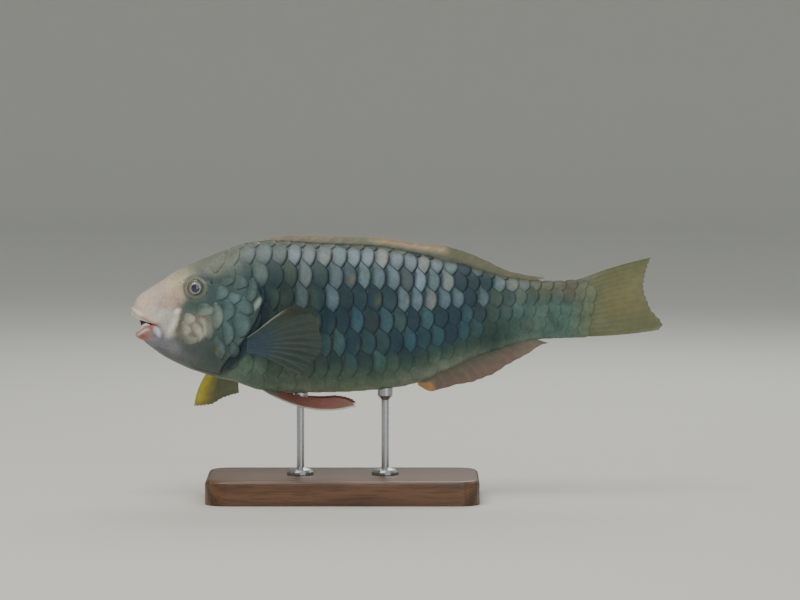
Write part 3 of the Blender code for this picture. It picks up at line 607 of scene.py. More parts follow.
def unwrap_skin(item, rows, count):
    """The bake's map: the skin slit along the belly and rolled out flat."""
    layer = item.data.uv_layers.new(name="OFBake")
    loops = corner_vertices(item)
    ring = np.minimum(loops // count, rows - 1)
    turned = (loops % count - count // 2) % count
    starts = np.empty(len(item.data.polygons), np.int32)
    totals = np.empty(len(item.data.polygons), np.int32)
    item.data.polygons.foreach_get("loop_start", starts)
    item.data.polygons.foreach_get("loop_total", totals)
    owner = np.repeat(np.arange(len(starts)), totals)
    low = np.full(len(starts), count)
    np.minimum.at(low, owner, turned)
    high = np.zeros(len(starts), int)
    np.maximum.at(high, owner, turned)
    wraps = (high - low > count // 2)[owner]
    turned = np.where(wraps & (turned < count // 2), turned + count, turned)
    caps = loops >= rows * count
    u = ring / (rows - 1) * 0.98 + 0.01
    u = np.where(caps, np.where(loops == rows * count, 0.002, 0.998), u)
    v = turned / count * 0.98 + 0.01
    layer.data.foreach_set("uv", np.stack([u, v], -1).astype(np.float32).ravel())


skin, skin_rows, skin_count = build_skin()
unwrap_skin(skin, skin_rows, skin_count)
print("skin faces:", len(skin.data.polygons), "of four corners")

# %% [markdown]
# ## Building materials from nodes
# A material is a small graph. One helper adds a node, sets its options and sockets, and draws its links,
# so that each material below reads as a list of what it is made of.

# %% Node helper
def add_node(tree, kind, links=(), values=(), **options):
    """Add a node. links are (socket, source socket) pairs and values are (socket, value) pairs."""
    item = tree.nodes.new(kind)
    for name, value in options.items():
        setattr(item, name, value)
    for socket, value in values:
        item.inputs[socket].default_value = value
    for socket, source in links:
        tree.links.new(source, item.inputs[socket])
    return item


def new_material(name):
    """A material with its tree and its Principled shader."""
    item = bpy.data.materials.new(name)
    item.use_nodes = True
    return item, item.node_tree, item.node_tree.nodes["Principled BSDF"]


def object_pattern(tree, kind, size, stretch=(1, 1, 1), values=(), **options):
    """A procedural pattern on Object coordinates; size is that of one repeat, in metres."""
    where = add_node(tree, "ShaderNodeTexCoord")
    turned = add_node(tree, "ShaderNodeMapping", [("Vector", where.outputs["Object"])],
                      [("Scale", stretch)])
    return add_node(tree, kind, [("Vector", turned.outputs["Vector"])],
                    [("Scale", 1 / size), *values], **options)


def shade_colour(tree, shader, patterns, colour=None):
    """Base colour, made darker or lighter by patterns: (socket, low, high, darkest, lightest).
    The colour is the mesh's paint, unless another socket is given."""
    paint = colour or add_node(tree, "ShaderNodeAttribute", attribute_name="paint").outputs["Color"]
    for socket, *ends in patterns:
        names = ("From Min", "From Max", "To Min", "To Max")
        amount = add_node(tree, "ShaderNodeMapRange", [("Value", socket)], zip(names, ends))
        shaded = add_node(tree, "ShaderNodeVectorMath", [(0, paint), ("Scale", amount.outputs[0])],
                          operation="SCALE")
        paint = shaded.outputs["Vector"]
    tree.links.new(paint, shader.inputs["Base Color"])


def set_surface(tree, shader, relief=None, colour=None, **values):
    """The shader's own values, and a relief: a height's socket, its strength and depth in metres."""
    for name, value in values.items():
        shader.inputs[name.replace("_", " ")].default_value = value
    if colour:
        shader.inputs["Base Color"].default_value = (*linear(colour), 1)
    if relief:
        height, strength, depth = relief
        raised = add_node(tree, "ShaderNodeBump", [("Height", height)],
                          [("Strength", strength), ("Distance", depth)])
        tree.links.new(raised.outputs["Normal"], shader.inputs["Normal"])


print("helpers for materials are defined")

# %% [markdown]
# ## Skin: acrylic paint under satin varnish
# A museum cast is painted in thin acrylic coats and sealed with satin varnish, which looks like wet
# slime. The paint attribute gives the pattern. A fine speckle of dark pigment cells, about 1 mm apart,
# breaks it up, and a soft bump keeps the varnish from looking like glass.

# %% Skin material
def painted_skin():
    look, tree, shader = new_material("varnished_acrylic_skin")
    cells = object_pattern(tree, "ShaderNodeTexNoise", 0.0012, values=[("Detail", 3.0)])
    clouds = object_pattern(tree, "ShaderNodeTexNoise", 0.007)
    shade_colour(tree, shader, [(cells.outputs["Fac"], 0.35, 0.68, 0.86, 1.1),
                                (clouds.outputs["Fac"], 0.3, 0.7, 0.86, 1.12)])
    fine = object_pattern(tree, "ShaderNodeTexNoise", 0.0009)
    set_surface(tree, shader, (fine.outputs["Fac"], 0.22, 0.0003), Roughness=0.46, IOR=1.4,
                Subsurface_Weight=0.08, Subsurface_Scale=0.002, Coat_Weight=0.15,
                Coat_Roughness=0.28)
    return look


skin_look = painted_skin()
skin.data.materials.append(skin_look)
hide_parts("head", "gill_cover_left", "gill_cover_right", "torso_front", "torso_rear",
            "tail_stalk")
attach(skin, "root")
print("skin material:", skin_look.name)

# %% [markdown]
# ## One scale
# A parrotfish's scale is a thin rounded plate. Its root is sunk in the skin, and its free rear edge lies
# over the next scale. The plate is modelled flat, one scale long and one row high, with z as the height
# in millimetres. Its rear edge is blunt. On the flank its upper corner is cut away more than its lower
# one, so that the part that shows is the leaning hexagon of the photo. The left and right flanks need
# mirrored plates, and the cheeks an even one. The map named plate tells the paint how near the rim it is.

# %% Scale plate
PLATE_FRONT = 1.15           # scale lengths from the middle of the part that shows to the root
PLATE_REAR = 0.56
PLATE_HALF_HEIGHT = 0.75     # rows
EVEN_FALL, UPPER_FALL, LOWER_FALL = 1.15, 2.2, 0.9    # scale lengths the edge falls back in one row
PLATE_SPREAD = 0.8           # below 1, the plate's columns of points crowd towards its rear
PLATE_COLUMNS = 12
PLATE_LINES = 12


def rear_edge(side, lean):
    """Where the free edge lies, in scale lengths, at a distance in rows from the middle."""
    past = np.abs(side) - 0.30
    slope = np.where(side * lean > 0, UPPER_FALL, LOWER_FALL) if lean else EVEN_FALL
    return PLATE_REAR - slope * (np.sqrt(past ** 2 + 0.012) + past) / 2


def grid_faces(columns, lines):
    """Faces of an open grid of points."""
    return [(k, k + lines, k + lines + 1, k + 1)
            for i in range(columns - 1) for k in range(i * lines, (i + 1) * lines - 1)]


def closed_sheet(name, top, under):
    """A closed shell between two grids of points."""
    columns, lines = top.shape[:2]
    size = columns * lines
    faces = []
    for quad in grid_faces(columns, lines):
        faces += [quad, tuple(n + size for n in reversed(quad))]
    grid = np.arange(size).reshape(columns, lines)
    border = [grid[:, 0], grid[-1, 1:], grid[-2::-1, -1], grid[0, -2:0:-1]]
    border = np.concatenate(border).tolist()
    for a, b in zip(border, border[1:] + border[:1]):
        faces.append((a, a + size, b + size, b))
    return mesh_object(name, np.concatenate([top.reshape(-1, 3), under.reshape(-1, 3)]), faces)


def scale_plate(lean):
    """A closed plate that rises from its root. Its upper side is y * lean > 0; lean 0 makes it even."""
    part, side = np.meshgrid(np.linspace(0, 1, PLATE_COLUMNS + 1),
                             np.linspace(-1, 1, PLATE_LINES + 1), indexing="ij")
    y = side * PLATE_HALF_HEIGHT
    rear = rear_edge(y, lean)
    front = -PLATE_FRONT * (1 - 0.3 * side ** 2)
    x = front + (rear - front) * part ** PLATE_SPREAD
    height = -0.15 + 0.8 * rise(part, 0.1, 0.9) + 0.16 * (1 - side ** 2) * part
    tuck = np.where(side * lean > 0, 0.12, 0.45) if lean else 0.4
    height -= 0.22 * rise(part, 0.93, 0.07) + tuck * rise(np.abs(side), 0.65, 0.35)
    thickness = 0.07 + 0.2 * smooth_step((1 - part) * 8)
    item = closed_sheet("scale_plate", np.stack([x, y, height], -1),
                        np.stack([x, y, height - thickness], -1))
    flat = np.stack([part.ravel(), side.ravel() / 2 + 0.5], -1)
    store_map(item, "plate", np.concatenate([flat, flat]))
    return item


LEANS = {"left": 1, "right": -1, "cheeks": 0}
plates = {where: scale_plate(lean) for where, lean in LEANS.items()}
print("faces of one scale:", len(plates["left"].data.polygons))

# %% [markdown]
# ## A rolled-out body for the scales to follow
# The scales are laid out flat and then wrapped round the fish. For that the wrap needs a guide: a smooth
# surface with a map that says which flat place each point came from. Flat places are (along, percent of
# the half girth from the back, negative on the left). One guide serves the trunk, and one the head.

# %% Guide surfaces
TRUNK_SPAN = (24.0, BODY_END)
CHEEK_SPAN = (30.0, 92.0)


def guide_surface(name, level, span, step):
    """A surface at a level over the plain body, with a map named flat."""
    stations = np.linspace(*span, round((span[1] - span[0]) / step) + 1)
    turns = np.linspace(-1, 1, 201)
    along, turn = np.meshgrid(stations, turns, indexing="ij")
    point, normal = base_surface(along, np.abs(turn))
    point = point + normal * level(along, point[..., 2])[..., None]
    ones = np.ones_like(turn)
    mirror = np.stack([ones, np.where(turn < 0, -ones, ones), ones], -1)
    item = plain_mesh(name, place_rows(point * mirror), grid_faces(*along.shape))
    store(item, "outward", "FLOAT_VECTOR", normal * mirror)
    flat = np.stack([(along - span[0]) / (span[1] - span[0]), turn / 2 + 0.5], -1)
    store_map(item, "flat", flat.reshape(-1, 2))
    return item


trunk_guide = guide_surface("trunk_guide", trunk_level, TRUNK_SPAN, 1.5)
cheek_guide = guide_surface("cheek_guide", cover_level, CHEEK_SPAN, 0.8)
print("guide faces:", len(trunk_guide.data.polygons), len(cheek_guide.data.polygons))

# %% [markdown]
# ## Where each scale grows
# Scales stand in rows along the flank, row 0 on the middle of the side. Each row is moved a quarter of a
# scale forward from the one above it, so the columns lean, as they do in the photo. Scales are longest
# near the gill cover and shorten towards the tail, and rows end where the body tapers away under them, as
# on the real fish. The top and bottom rows are trimmed to what is left of the side, and each scale is a
# little off in size and turn, as grown things are. The cheek's plates are fewer and bigger, so each is
# listed with the place, length, height and turn measured in the photo.

# %% Roots of the scales
SCALE_START = 60.0
row_height = curve([(30, 11.0), (50, 12.6), (80, 14.8), (110, 15.2), (165, 14.4), (200, 12.3),
                    (224, 10.9), (250, 9.8), (280, 9.2), (308, 8.8)])
ROW_SHIFT = -0.24            # scales from one row to the next one down
COLUMN_TURN = 5.0            # degrees that the flank's scales lean
MIDLINE_OVERLAP = 1.0        # mm that the top and bottom rows reach over the back and the belly
UNEVENNESS = 0.05            # share by which scales differ in size, and radians in turn
EYE_CLEARANCE = 13.0
ROWS = range(-5, 6)          # rows of scales, from the back to the belly
STEPS = range(-3, 28)        # scales of a row, counted from SCALE_START
LAST_ROOT = BODY_END - 3.5
SPILL = 0.3                  # share of a row's height that its middle may lie past the back or belly
THINNEST_COAT = 0.1          # no scale grows where the coat is thinner than this

PLATE_SPAN = 1.4             # rows from rim to rim of the part of a plate that shows
CHEEK_THICKNESS = 0.27

# along, up, length, height, turn in degrees, paleness
CHEEK_PLATES = [(39.0, -5.0, 8.5, 7.5, 0, 1.0), (44.5, -13.0, 6.5, 14.0, -14, 0.95),
                (37.0, -11.5, 6.0, 10.0, -10, 0.8), (40.0, -18.5, 9.5, 6.5, -8, 0.6),
                (49.8, 1.2, 11.5, 8.0, 12, 0.9), (58.0, -2.5, 8.0, 17.0, -4, 0.9),
                (51.5, -11.5, 7.5, 14.0, -16, 0.5), (61.0, 12.5, 9.5, 9.0, 10, 0.8),
                (68.6, 9.0, 10.5, 8.0, -6, 0.95), (75.2, 3.5, 13.0, 12.5, 14, 0.55),
                (73.8, -7.4, 13.0, 17.0, -16, 0.6), (65.0, 1.0, 9.5, 13.5, 4, 0.7),
                (65.0, -13.5, 8.0, 16.5, -6, 0.85), (59.5, -24.0, 7.5, 15.5, -10, 0.7),
                (68.6, -24.5, 7.5, 11.0, -12, 0.45), (81.0, 14.5, 7.0, 16.0, 8, 0.45),
                (73.0, 19.5, 10.5, 9.0, 12, 0.3), (64.5, 21.0, 10.0, 8.0, 12, 0.2)]


def column_place(column):
    """Along of a column of scales, and the scales' length there."""
    return SCALE_START + 10.5 * column - 0.0565 * column ** 2, 10.5 - 0.113 * column


def flatness(along, up):
    """Scales of the belly lie flatter than those of the flank."""
    return float(np.interp(up - float(belly(along)), [0, 18, 38], [0.4, 0.6, 1.0]))


def trunk_roots():
    """Along, signed percent, length, height in percent, thickness, turn and row of each scale."""
    roots = []
    for row in ROWS:
        for step in STEPS:
            along, length = column_place(step + ROW_SHIFT * row)
            if along > LAST_ROOT:
                continue
            girth, height = float(half_girth(along)), float(row_height(along))
            share = 0.5 + row * height / girth
            if not -SPILL * height / girth < share < 1 + SPILL * height / girth:
                continue
            upper = max(share * girth - PLATE_HALF_HEIGHT * height, -MIDLINE_OVERLAP)
            lower = min(share * girth + PLATE_HALF_HEIGHT * height, girth + MIDLINE_OVERLAP)
            share = (upper + lower) / 2 / girth
            height = (lower - upper) / 2 / PLATE_HALF_HEIGHT
            up = float(look_up(table_up, np.array(along), np.array(np.clip(share, 0, 1))))
            hidden = along + 0.4 * length < gill_edge(up) and -42 < up < 21
            near_eye = math.hypot(along - EYE[0], up - EYE[1]) < EYE_CLEARANCE
            fade = float(coat_fade(np.array(along), np.array(up)))
            if hidden or near_eye or fade < THINNEST_COAT:
                continue
            for side in (1, -1):
                wobble = UNEVENNESS * math.sin(12.9 * row + 7.7 * step + side)
                roots.append((along + 6 * wobble, side * share * 100, length * (1 + wobble),
                              height * (1 - 0.8 * wobble) / girth * 100,
                              (0.2 + 0.8 * fade) * flatness(along, up),
                              side * math.radians(COLUMN_TURN) + wobble, row))
    return np.array(roots)


def cheek_roots():
    """The same for the cheek's plates, with their paleness in the row's place."""
    roots = []
    for along, up, length, height, turn, pale in CHEEK_PLATES:
        share, girth = float(share_at(along, up)), float(half_girth(along))
        for side in (1, -1):
            roots.append((along, side * share * 100, length, height / PLATE_SPAN / girth * 100,
                          CHEEK_THICKNESS, side * math.radians(turn), pale))
    return np.array(roots)


def roots_mesh(name, roots):
    """A mesh of one vertex to a scale, that carries each scale's size and turn."""
    item = plain_mesh(name, np.stack([roots[:, 0], roots[:, 1], 0 * roots[:, 0]], -1))
    store(item, "size", "FLOAT_VECTOR", roots[:, 2:5])
    store(item, "turn", "FLOAT", roots[:, 5])
    return item


trunk_list, cheek_list = trunk_roots(), cheek_roots()
print("scales on the trunk:", len(trunk_list), "and plates on the head:", len(cheek_list))

# %% [markdown]
# ## Rows of scales by Geometry Nodes
# The tree puts a plate on each root, gives it a random tone, and realizes the instances. Then it reads,
# for each corner of each plate, the guide's point and outward direction at that flat place, and moves
# the corner there. One tree serves the trunk and the head, with another guide.

# %% Scale tree
def plates_on_roots(tree, given, kept):
    """A plate on each root, with a random tone and its number, made real."""
    turn = add_node(tree, "ShaderNodeCombineXYZ", [("Z", kept["turn"])])
    rotation = add_node(tree, "FunctionNodeEulerToRotation", [(0, turn.outputs[0])])
    model = add_node(tree, "GeometryNodeObjectInfo", [("Object", given["Plate"])])
    copies = add_node(tree, "GeometryNodeInstanceOnPoints",
                      [("Points", given["Geometry"]), ("Instance", model.outputs["Geometry"]),
                       ("Rotation", rotation.outputs[0]), ("Scale", kept["size"])])
    tone = add_node(tree, "FunctionNodeRandomValue", [("Seed", given["Seed"])], data_type="FLOAT")
    index = add_node(tree, "GeometryNodeInputIndex")
    carried = copies.outputs[0]
    for name, value in (("tone", tone.outputs[1]), ("number", index.outputs[0])):
        noted = add_node(tree, "GeometryNodeStoreNamedAttribute",
                         [("Geometry", carried), ("Value", value)], [("Name", name)],
                         data_type="FLOAT", domain="INSTANCE")
        carried = noted.outputs[0]
    real = add_node(tree, "GeometryNodeRealizeInstances", [("Geometry", carried)])
    return real.outputs[0]


def wrap_round_guide(tree, scales, given, kept):
    """Move each point to its place on the guide, and out of it by its height.
    A flat x is millimetres along, and a flat y is percent of the half girth, from -100 to 100."""
    flat = add_node(tree, "GeometryNodeInputPosition")
    split = add_node(tree, "ShaderNodeSeparateXYZ", [("Vector", flat.outputs[0])])
    run = add_node(tree, "ShaderNodeMapRange",
                   [("Value", split.outputs["X"]), ("From Min", given["Guide Start"]),
                    ("From Max", given["Guide End"])])
    u = add_node(tree, "ShaderNodeClamp", [("Value", run.outputs[0])],
                 [("Min", 0.001), ("Max", 0.999)])
    round_it = add_node(tree, "ShaderNodeMapRange", [("Value", split.outputs["Y"])],
                        [("From Min", -100.0), ("From Max", 100.0)], clamp=False)
    v = add_node(tree, "ShaderNodeMath", [(0, round_it.outputs[0])], [(1, 1.0), (2, 0.0)],
                 operation="WRAP")
    where = add_node(tree, "ShaderNodeCombineXYZ", [("X", u.outputs[0]), ("Y", v.outputs[0])])
    surface = add_node(tree, "GeometryNodeObjectInfo", [("Object", given["Guide"])])
    position = add_node(tree, "GeometryNodeInputPosition")
    base, outward = [
        add_node(tree, "GeometryNodeSampleUVSurface",
                 [("Mesh", surface.outputs["Geometry"]), ("Value", value),
                  ("Source UV Map", kept["flat"]), ("Sample UV", where.outputs[0])],
                 data_type="FLOAT_VECTOR").outputs[0]
        for value in (position.outputs[0], kept["outward"])]
    metres = add_node(tree, "ShaderNodeMath", [(0, split.outputs["Z"])], [(1, MM)],
                      operation="MULTIPLY")
    lift = add_node(tree, "ShaderNodeVectorMath", [(0, outward), ("Scale", metres.outputs[0])],
                    operation="SCALE")
    raised = add_node(tree, "ShaderNodeVectorMath", [(0, base), (1, lift.outputs[0])],
                      operation="ADD")
    wrapped = add_node(tree, "GeometryNodeSetPosition",
                       [("Geometry", scales), ("Position", raised.outputs[0])])
    return wrapped.outputs[0]


def scale_tree():
    """The tree with its inputs, from roots to finished scales."""
    tree = bpy.data.node_groups.new("rows_of_scales", "GeometryNodeTree")
    face = tree.interface
    face.new_socket("Geometry", in_out="INPUT", socket_type="NodeSocketGeometry")
    for name, kind in (("Plate", "NodeSocketObject"), ("Guide", "NodeSocketObject"),
                       ("Guide Start", "NodeSocketFloat"), ("Guide End", "NodeSocketFloat"),
                       ("Seed", "NodeSocketInt"), ("Finish", "NodeSocketMaterial")):
        face.new_socket(name, in_out="INPUT", socket_type=kind)
    face.new_socket("Geometry", in_out="OUTPUT", socket_type="NodeSocketGeometry")
    given = add_node(tree, "NodeGroupInput").outputs
    kept = {}
    for name, kind in (("turn", "FLOAT"), ("size", "FLOAT_VECTOR"), ("outward", "FLOAT_VECTOR"),
                       ("flat", "FLOAT_VECTOR")):
        kept[name] = add_node(tree, "GeometryNodeInputNamedAttribute", (), [("Name", name)],
                              data_type=kind).outputs[0]
    wrapped = wrap_round_guide(tree, plates_on_roots(tree, given, kept), given, kept)
    finished = add_node(tree, "GeometryNodeSetMaterial",
                        [("Geometry", wrapped), ("Material", given["Finish"])])
    add_node(tree, "NodeGroupOutput", [("Geometry", finished.outputs[0])])
    return tree


def run_tree(holder, tree, **values):
    """Give an object a Geometry Nodes tree with these inputs, and keep the result as its mesh."""
    modifier = holder.modifiers.new("nodes", "NODES")
    modifier.node_group = tree
    for socket in tree.interface.items_tree:
        key = socket.name.lower().replace(" ", "_")
        if socket.in_out == "INPUT" and key in values:
            modifier[socket.identifier] = values[key]
    graph = bpy.context.evaluated_depsgraph_get()
    data = bpy.data.meshes.new_from_object(holder.evaluated_get(graph))
    holder.modifiers.clear()
    holder.data = data
    return holder


tree_of_scales = scale_tree()
print("nodes in the tree:", len(tree_of_scales.nodes))

# %% [markdown]
# ## Scale finish: pearly grey plates with dark rims
# The real scale is bone under a skin with silvery and dark cells. Its rim is dark, and its middle is
# pale where it catches light. Growth rings are drawn as a faint bump, about 0.8 mm apart. The plate map
# gives the distance from the rim.

# %% Scale material
def scale_finish():
    look, tree, shader = new_material("varnished_acrylic_scales")
    cells = object_pattern(tree, "ShaderNodeTexNoise", 0.0016, values=[("Detail", 3.0)])
    clouds = object_pattern(tree, "ShaderNodeTexNoise", 0.006)
    shade_colour(tree, shader, [(cells.outputs["Fac"], 0.35, 0.68, 0.88, 1.1),
                                (clouds.outputs["Fac"], 0.3, 0.7, 0.84, 1.14)])
    plate_map = add_node(tree, "ShaderNodeUVMap", uv_map="plate")
    rings = add_node(tree, "ShaderNodeTexWave", [("Vector", plate_map.outputs[0])],
                     [("Scale", 3.0), ("Distortion", 1.5), ("Detail", 1.0)], bands_direction="X")
    set_surface(tree, shader, (rings.outputs["Fac"], 0.12, 0.0003), Roughness=0.5, IOR=1.4,
                Subsurface_Weight=0.05, Subsurface_Scale=0.0015, Coat_Weight=0.1,
                Coat_Roughness=0.3)
    return look


scale_look = scale_finish()
ROOTS = {"left": ("scales_left", trunk_list[trunk_list[:, 1] < 0], trunk_guide, TRUNK_SPAN, 11),
         "right": ("scales_right", trunk_list[trunk_list[:, 1] > 0], trunk_guide, TRUNK_SPAN, 11),
         "cheeks": ("cheek_plates", cheek_list, cheek_guide, CHEEK_SPAN, 5)}
coats = {}
for where, (name, roots, guide, span, seed) in ROOTS.items():
    item = run_tree(roots_mesh(name, roots), tree_of_scales, plate=plates[where], guide=guide,
                    guide_start=span[0], guide_end=span[1], seed=seed, finish=scale_look)
    coats[where] = (item, roots)
print("faces of the scales:", {key: len(item.data.polygons) for key, (item, _) in coats.items()})

# %% [markdown]
# ## Painting the scales one by one
# On the real fish each scale has its own tone: many of the upper flank are pale blue-grey, lower ones are
# dark slate, and a few are brown or ochre. The tree stored a random tone and a number on each scale, and
# here they choose a colour, which is laid over the same ground colour as the skin's.

# %% Paint the scales
GOLDEN = 0.6180339           # its multiples spread evenly, so that neighbours differ


def read_attribute(item, name):
    values = np.empty(len(item.data.vertices), np.float32)
    item.data.attributes[name].data.foreach_get("value", values)
    return values


def vertex_map(item, name):
    """A UV map read at the vertices."""
    flat = np.zeros((len(item.data.vertices), 2))
    corners = np.empty(len(item.data.loops) * 2, np.float32)
    item.data.uv_layers[name].data.foreach_get("uv", corners)
    flat[corner_vertices(item)] = corners.reshape(-1, 2)
    return flat


def vertex_places(item):
    """Along and up of the vertices, in millimetres."""
    where = np.empty(len(item.data.vertices) * 3, np.float32)
    item.data.vertices.foreach_get("co", where)
    where = where.reshape(-1, 3) / MM
    return where[:, 0] + STAND_ALONG, where[:, 2] - AXIS_HEIGHT


def rim_of(flat, lean):
    """1 on the free edge of a plate, and 0 on the rest."""
    side = 2 * flat[:, 1] - 1
    length = rear_edge(side * PLATE_HALF_HEIGHT, lean) + PLATE_FRONT * (1 - 0.3 * side ** 2)
    rear = smooth_step((0.19 - (1 - flat[:, 0] ** PLATE_SPREAD) * length) / 0.13)
    return np.maximum(rear, rise(np.abs(side), 0.84, 0.14) * smooth_step(flat[:, 0] * 3 - 1.2))


def paint_trunk(paint, along, up, flat, root, tone, number, lean):
    """Tones of the flank's scales, by the root, the random tone and the number of each, with painted
    shade.
    """
    at, row = root[:, 0], root[:, 6]
    chance = ((number * GOLDEN) % 1.0 + (row * 0.37)) % 1.0
    paleness = np.interp(row, [-5, -4, -3, -2, -1, 0, 1, 2, 5],
                         [0.3, 0.55, 0.68, 0.7, 0.48, 0.42, 0.32, 0.2, 0.1])
    paleness = paleness * np.interp(at, [45, 80, 94, 115, 150, 172, 200, 212, 245, 290],
                                    [0.0, 0.15, 0.7, 0.9, 1.0, 1.15, 1.15, 0.85, 0.6, 0.3])
    pale = smooth_step((paleness - tone) / 0.14 + 0.5)
    upper, front, calm = fall(row, 0.8, 2.6), fall(at, 150, 50), fall(at, 172, 55)
    bold = np.interp(up - belly(along), [8, 32], [0.1, 1.0])
    bold = bold * np.interp(at, [225, 262, 295], [1.0, 0.45, 0.1])
    heart = bump(flat[:, 1] - 0.5 + 0.12 * (chance - 0.5), 0.5) * rise(flat[:, 0], 0.34, 0.2)
    heart = pale * heart * bold * fall(up, back(along), 5)
    glow = (0.45 + 0.55 * ((chance * 7.3) % 1.0)) * (1 - 0.3 * calm) * (1 - 0.25 * rise(at, 205, 15))
    deep = (1 - pale) * bold * rise(at, 78, 16)
    deep = deep * (1 - 0.75 * front * (row < -1)) * (1 - 0.25 * calm)
    dark = rise(tone, 0.62, 0.12) * deep
    ochre = smooth_step((0.05 - np.abs(chance - 0.47)) * 60) * (np.abs(row + 1.5) < 1.6)
    ochre = ochre * (at > 90) * (at < 200)
    strength = np.interp(at, [45, 75, 95, 110, 205, 236, 275, 295],
                         [0.05, 0.2, 0.6, 0.9, 0.95, 0.6, 0.15, 0.0])
    strength = strength * np.interp(up - belly(along), [0, 10, 22, 34], [0.04, 0.15, 0.6, 1.0])
    strength = strength * np.interp(back(along) - up, [1.5, 7], [0.3, 1.0])
    brush(paint, [
        ("7d8f9d", heart * upper * 0.95 * glow),
        ("6c766b", heart * upper * front * smooth_step((chance - 0.35) * 8) * 0.6),
        ("2e5b68", heart * (1 - upper) * 0.7),
        ("80806f", heart * upper * smooth_step((chance - 0.7) * 8) * (at > 165) * 0.7),
        ("50706a", heart * smooth_step((0.22 - chance) * 10) * 0.6),
        ("15303f", dark * 0.7 * (1 - front)),
        ("2b3733", dark * 0.7 * front),
        ("33362f", smooth_step((chance - 0.88) * 12) * deep * 0.35),
        ("80733c", ochre * bump(np.hypot(flat[:, 0] - 0.74, flat[:, 1] - 0.42), 0.16) * 0.45),
        # painted shadow behind the gill cover, laid over the scales' tones
        ("182b39", gill_shadow(along, up) * 0.8),
        ("142730", rim_of(flat, lean) * strength),
        # painted shade on each plate's front, where it passes under the scales before it
        ("142730", fall(flat[:, 0], 0.42, 0.1) * strength * 0.6)])


def paint_cheeks(paint, along, up, flat, root):
    """Tones of the cheek's plates, whose paleness is listed with their roots, and painted shade at their
    fronts.
    """
    at, heart = root[:, 0], root[:, 6] * bump(flat[:, 1] - 0.5, 0.45) * rise(flat[:, 0], 0.3, 0.4)
    strength = 0.15 + 0.6 * rise(along, 50, 14)
    brush(paint, [
        ("c0bba9", heart * (at < 46) * 0.7),
        ("94a093", heart * (at > 46) * (at < 59) * 0.7),
        ("6f878a", heart * (at > 59) * 0.65),
        ("7d7a3a", spot(along, up, (57.5, -26.5), (1.3, 2.6), 0.6) * 0.7),
        ("1c3036", rim_of(flat, LEANS["cheeks"]) * strength),
        # painted shade on each plate's front, where it passes under the plates before it
        ("1c3036", fall(flat[:, 0], 0.45, 0.15) * strength * 0.6)])


# size of a scale's patch on the bake's map, along and round the body
PATCHES = {"left": (0.025, 0.065), "right": (0.025, 0.065), "cheeks": (0.05, 0.05)}


def unwrap_scales(item, roots, number, flat, patch):
    """The bake's map: each scale is a patch at its root's place on the rolled-out skin."""
    low, high = roots[:, :2].min(0), roots[:, :2].max(0)
    corner = 0.01 + (roots[:, :2] - low) / (high - low) * (0.98 - np.array(patch))
    store_map(item, "OFBake", corner[number] + flat * patch)
    apart = (np.abs(corner[:, None] - corner[None]) / patch).max(-1)
    np.fill_diagonal(apart, np.inf)
    print("closest patches of", item.name, "are", round(float(apart.min()), 2), "patches apart")


for where, (item, roots) in coats.items():
    along, up = vertex_places(item)
    number = read_attribute(item, "number").round().astype(int)
    flat = vertex_map(item, "plate")
    paint = fish_paint(along, up)
    if where == "cheeks":
        paint_cheeks(paint, along, up, flat, roots[number])
    else:
        tone = read_attribute(item, "tone")
        paint_trunk(paint, along, up, flat, roots[number], tone, number, LEANS[where])
    store(item, "paint", "FLOAT_COLOR", with_alpha(paint))
    unwrap_scales(item, roots, number, flat, PATCHES[where])
    item.data.shade_smooth()
    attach(item, "root")
for helper in (*plates.values(), trunk_guide, cheek_guide):
    bpy.data.objects.remove(helper)
print("painted coats:", sorted(coats))

# %% [markdown]
# ## Fins: a membrane between branching rays
# A fin is a thin skin over bony rays that fork towards the rim. One function makes every fin as a closed
# sheet: each ray is a ridge on both faces, which splits in two half way out. A flat card with a ray
# texture would be cheaper, but its edge and its ridges would vanish from the side.

# %% Fin builder
RAY_SAMPLES = 8


def fin_sheet(name, rays, rows, point, thickness, ridge, seed, forks=0.5, scallop=0.006):
    """A closed thin fin, and for each of its points the place, u, v and how near a ray's crest it is.
    point(u, v) and thickness(u, v) take arrays and give millimetres."""
    random = np.random.default_rng(seed)
    columns = (rays - 1) * RAY_SAMPLES + 1
    u, v = np.meshgrid(np.linspace(0, 1, columns), np.linspace(0, 1, rows + 1), indexing="ij")
    ray = u * (rays - 1)
    from_ray = np.abs(ray - np.round(ray))
    reach = 1 - scallop * (1 - np.cos(from_ray * math.tau))
    worn = 1 + 0.003 * np.interp(ray, np.arange(rays), random.uniform(-1, 1, rays))
    step = 1e-3
    spread = point(u, v * reach * worn)
    ahead = point(np.clip(u + step, 0, 1), v) - point(np.clip(u - step, 0, 1), v)
    out = point(u, np.clip(v + step, 0, 1)) - point(u, np.clip(v - step, 0, 1))
    normal = np.cross(ahead, out)
    normal /= np.linalg.norm(normal, axis=-1, keepdims=True)
    fork = 0.2 * smooth_step((v - forks) / (1 - forks)) if forks < 1 else 0 * v
    crest = bump(from_ray - fork, 0.13 * (1 - 0.35 * v))
    knots = 1 + 0.05 * np.cos(v * rows * 2.6)
    half = thickness(u, v) / 2 + ridge * crest * knots * (1 - 0.55 * v)
    top, under = [spread + normal * (half * side)[..., None] for side in (1, -1)]
    item = closed_sheet(name, place_rows(top), place_rows(under))
    item.data.set_sharp_from_angle(angle=math.radians(70))
    spots = np.concatenate([top.reshape(-1, 3), under.reshape(-1, 3)])
    return item, spots, [np.concatenate([part.ravel()] * 2) for part in (u, v, crest)]


